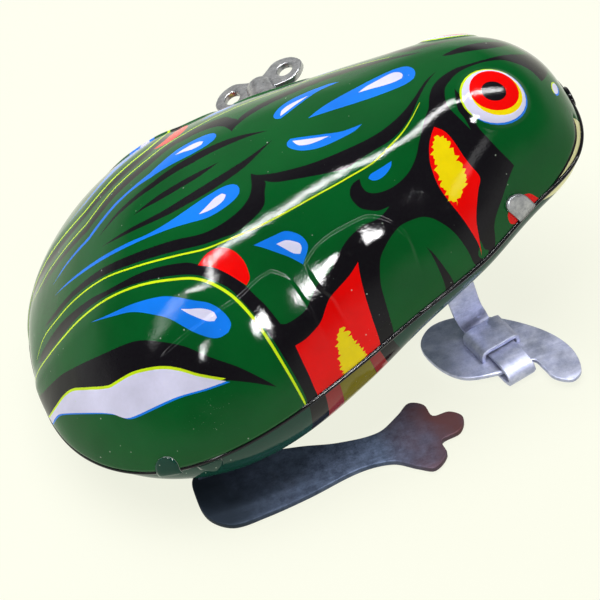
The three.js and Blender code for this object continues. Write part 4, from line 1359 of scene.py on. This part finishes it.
def area_light(name, place, size, radiance):
    """A soft panel of a given brightness, facing the frog. Its place is in metres from centre."""
    data = bpy.data.lights.new(name, "AREA")
    data.shape = "RECTANGLE"
    data.size, data.size_y = size
    data.energy = radiance * math.pi * size[0] * size[1]
    lamp = bpy.data.objects.new(name, data)
    lamp.location = centre + Vector(place)
    lamp.rotation_euler = (-Vector(place)).to_track_quat("-Z", "Y").to_euler()
    bpy.context.scene.collection.objects.link(lamp)
    return lamp


# The tube and the panels give the varnish its glints, and the overhead panel gives the even light
for name, place, size, radiance in (
    ("tube", (0.04, -0.045, 0.285), (0.5, 0.013), 90),
    ("front_panel", (0.038, -0.328, 0.285), (0.068, 0.066), 125),
    ("tail_panel", (-0.34, -0.06, 0.285), (0.24, 0.035), 9),
    ("rear_panel", (-0.25, -0.284, 0.285), (0.022, 0.08), 100),
    ("side_panel", (0.27, -0.4, 0.285), (0.09, 0.045), 3.5),
):
    lamp = area_light(name, place, size, radiance)
    lamp.visible_diffuse = False
    if name in ("tube", "tail_panel"):
        lamp.rotation_euler = (0, 0, 0)
overhead = area_light("overhead", (-0.02, 0.06, 0.42), (0.5, 0.4), 3.5)
overhead.visible_glossy = False


def studio_world():
    """A dim room over a bright horizon, with a broad soft glow on the far side of the frog."""
    world = bpy.data.worlds.new("studio")
    world.use_nodes = True
    tree = world.node_tree

    def add(kind, inputs, **settings):
        return add_node(tree, kind, inputs, **settings)

    def eased(value, start, end, at_start, at_end):
        inputs = {"Value": value, "From Min": start, "From Max": end, "To Min": at_start, "To Max": at_end}
        return add("ShaderNodeMapRange", inputs, interpolation_type="SMOOTHERSTEP").outputs[0]

    direction = tree.nodes.new("ShaderNodeTexCoord").outputs["Generated"]
    height = add("ShaderNodeSeparateXYZ", {0: direction}).outputs["Z"]
    haze = eased(height, 0.04, 0.42, 0.9, 0.09)
    glow_side = Vector((0.0, math.cos(GLOW_HEIGHT), math.sin(GLOW_HEIGHT)))
    both = {0: direction, 1: glow_side}
    facing = add("ShaderNodeVectorMath", both, operation="DOT_PRODUCT").outputs["Value"]
    glow = eased(facing, 0.72, 1.0, 0.0, 0.42)
    total = add("ShaderNodeMath", {0: haze, 1: glow}, operation="ADD").outputs[0]
    tint = add("ShaderNodeVectorMath", {0: (1.0, 1.0, 0.95), "Scale": total}, operation="SCALE").outputs[0]
    tree.links.new(tint, tree.nodes["Background"].inputs["Color"])
    return world


GLOW_HEIGHT = math.radians(46)
bpy.context.scene.world = studio_world()

# The camera looks down at the frog's right side, leaning with its head up to the right. Its numbers come from
# a camera that a program fitted to the photo.
CAMERA_TURN = math.radians(7.64)
CAMERA_DOWN = math.radians(45.82)
CAMERA_ROLL = math.radians(-13.2)
CAMERA_AIM = GROUND @ Vector((-2.12, -4.78, 10.3))
CAMERA_DISTANCE = 0.214
LENS = 107.5

level_right = Vector((math.cos(CAMERA_TURN), -math.sin(CAMERA_TURN), 0))
level_share = math.cos(CAMERA_DOWN)
forward = Vector(
    (math.sin(CAMERA_TURN) * level_share, math.cos(CAMERA_TURN) * level_share, -math.sin(CAMERA_DOWN))
)
level_up = level_right.cross(forward)
right = level_right * math.cos(CAMERA_ROLL) + level_up * math.sin(CAMERA_ROLL)
upward = right.cross(forward)
camera_data = bpy.data.cameras.new("camera")
camera_data.lens = LENS
camera_data.sensor_width = 36
camera_data.clip_start = 0.01
camera = bpy.data.objects.new("camera", camera_data)
camera.matrix_world = Matrix.Translation(CAMERA_AIM - forward * CAMERA_DISTANCE) @ Matrix(
    (right, upward, -forward)
).transposed().to_4x4()
bpy.context.scene.collection.objects.link(camera)
bpy.context.scene.camera = camera
bpy.context.scene.view_settings.view_transform = "Standard"
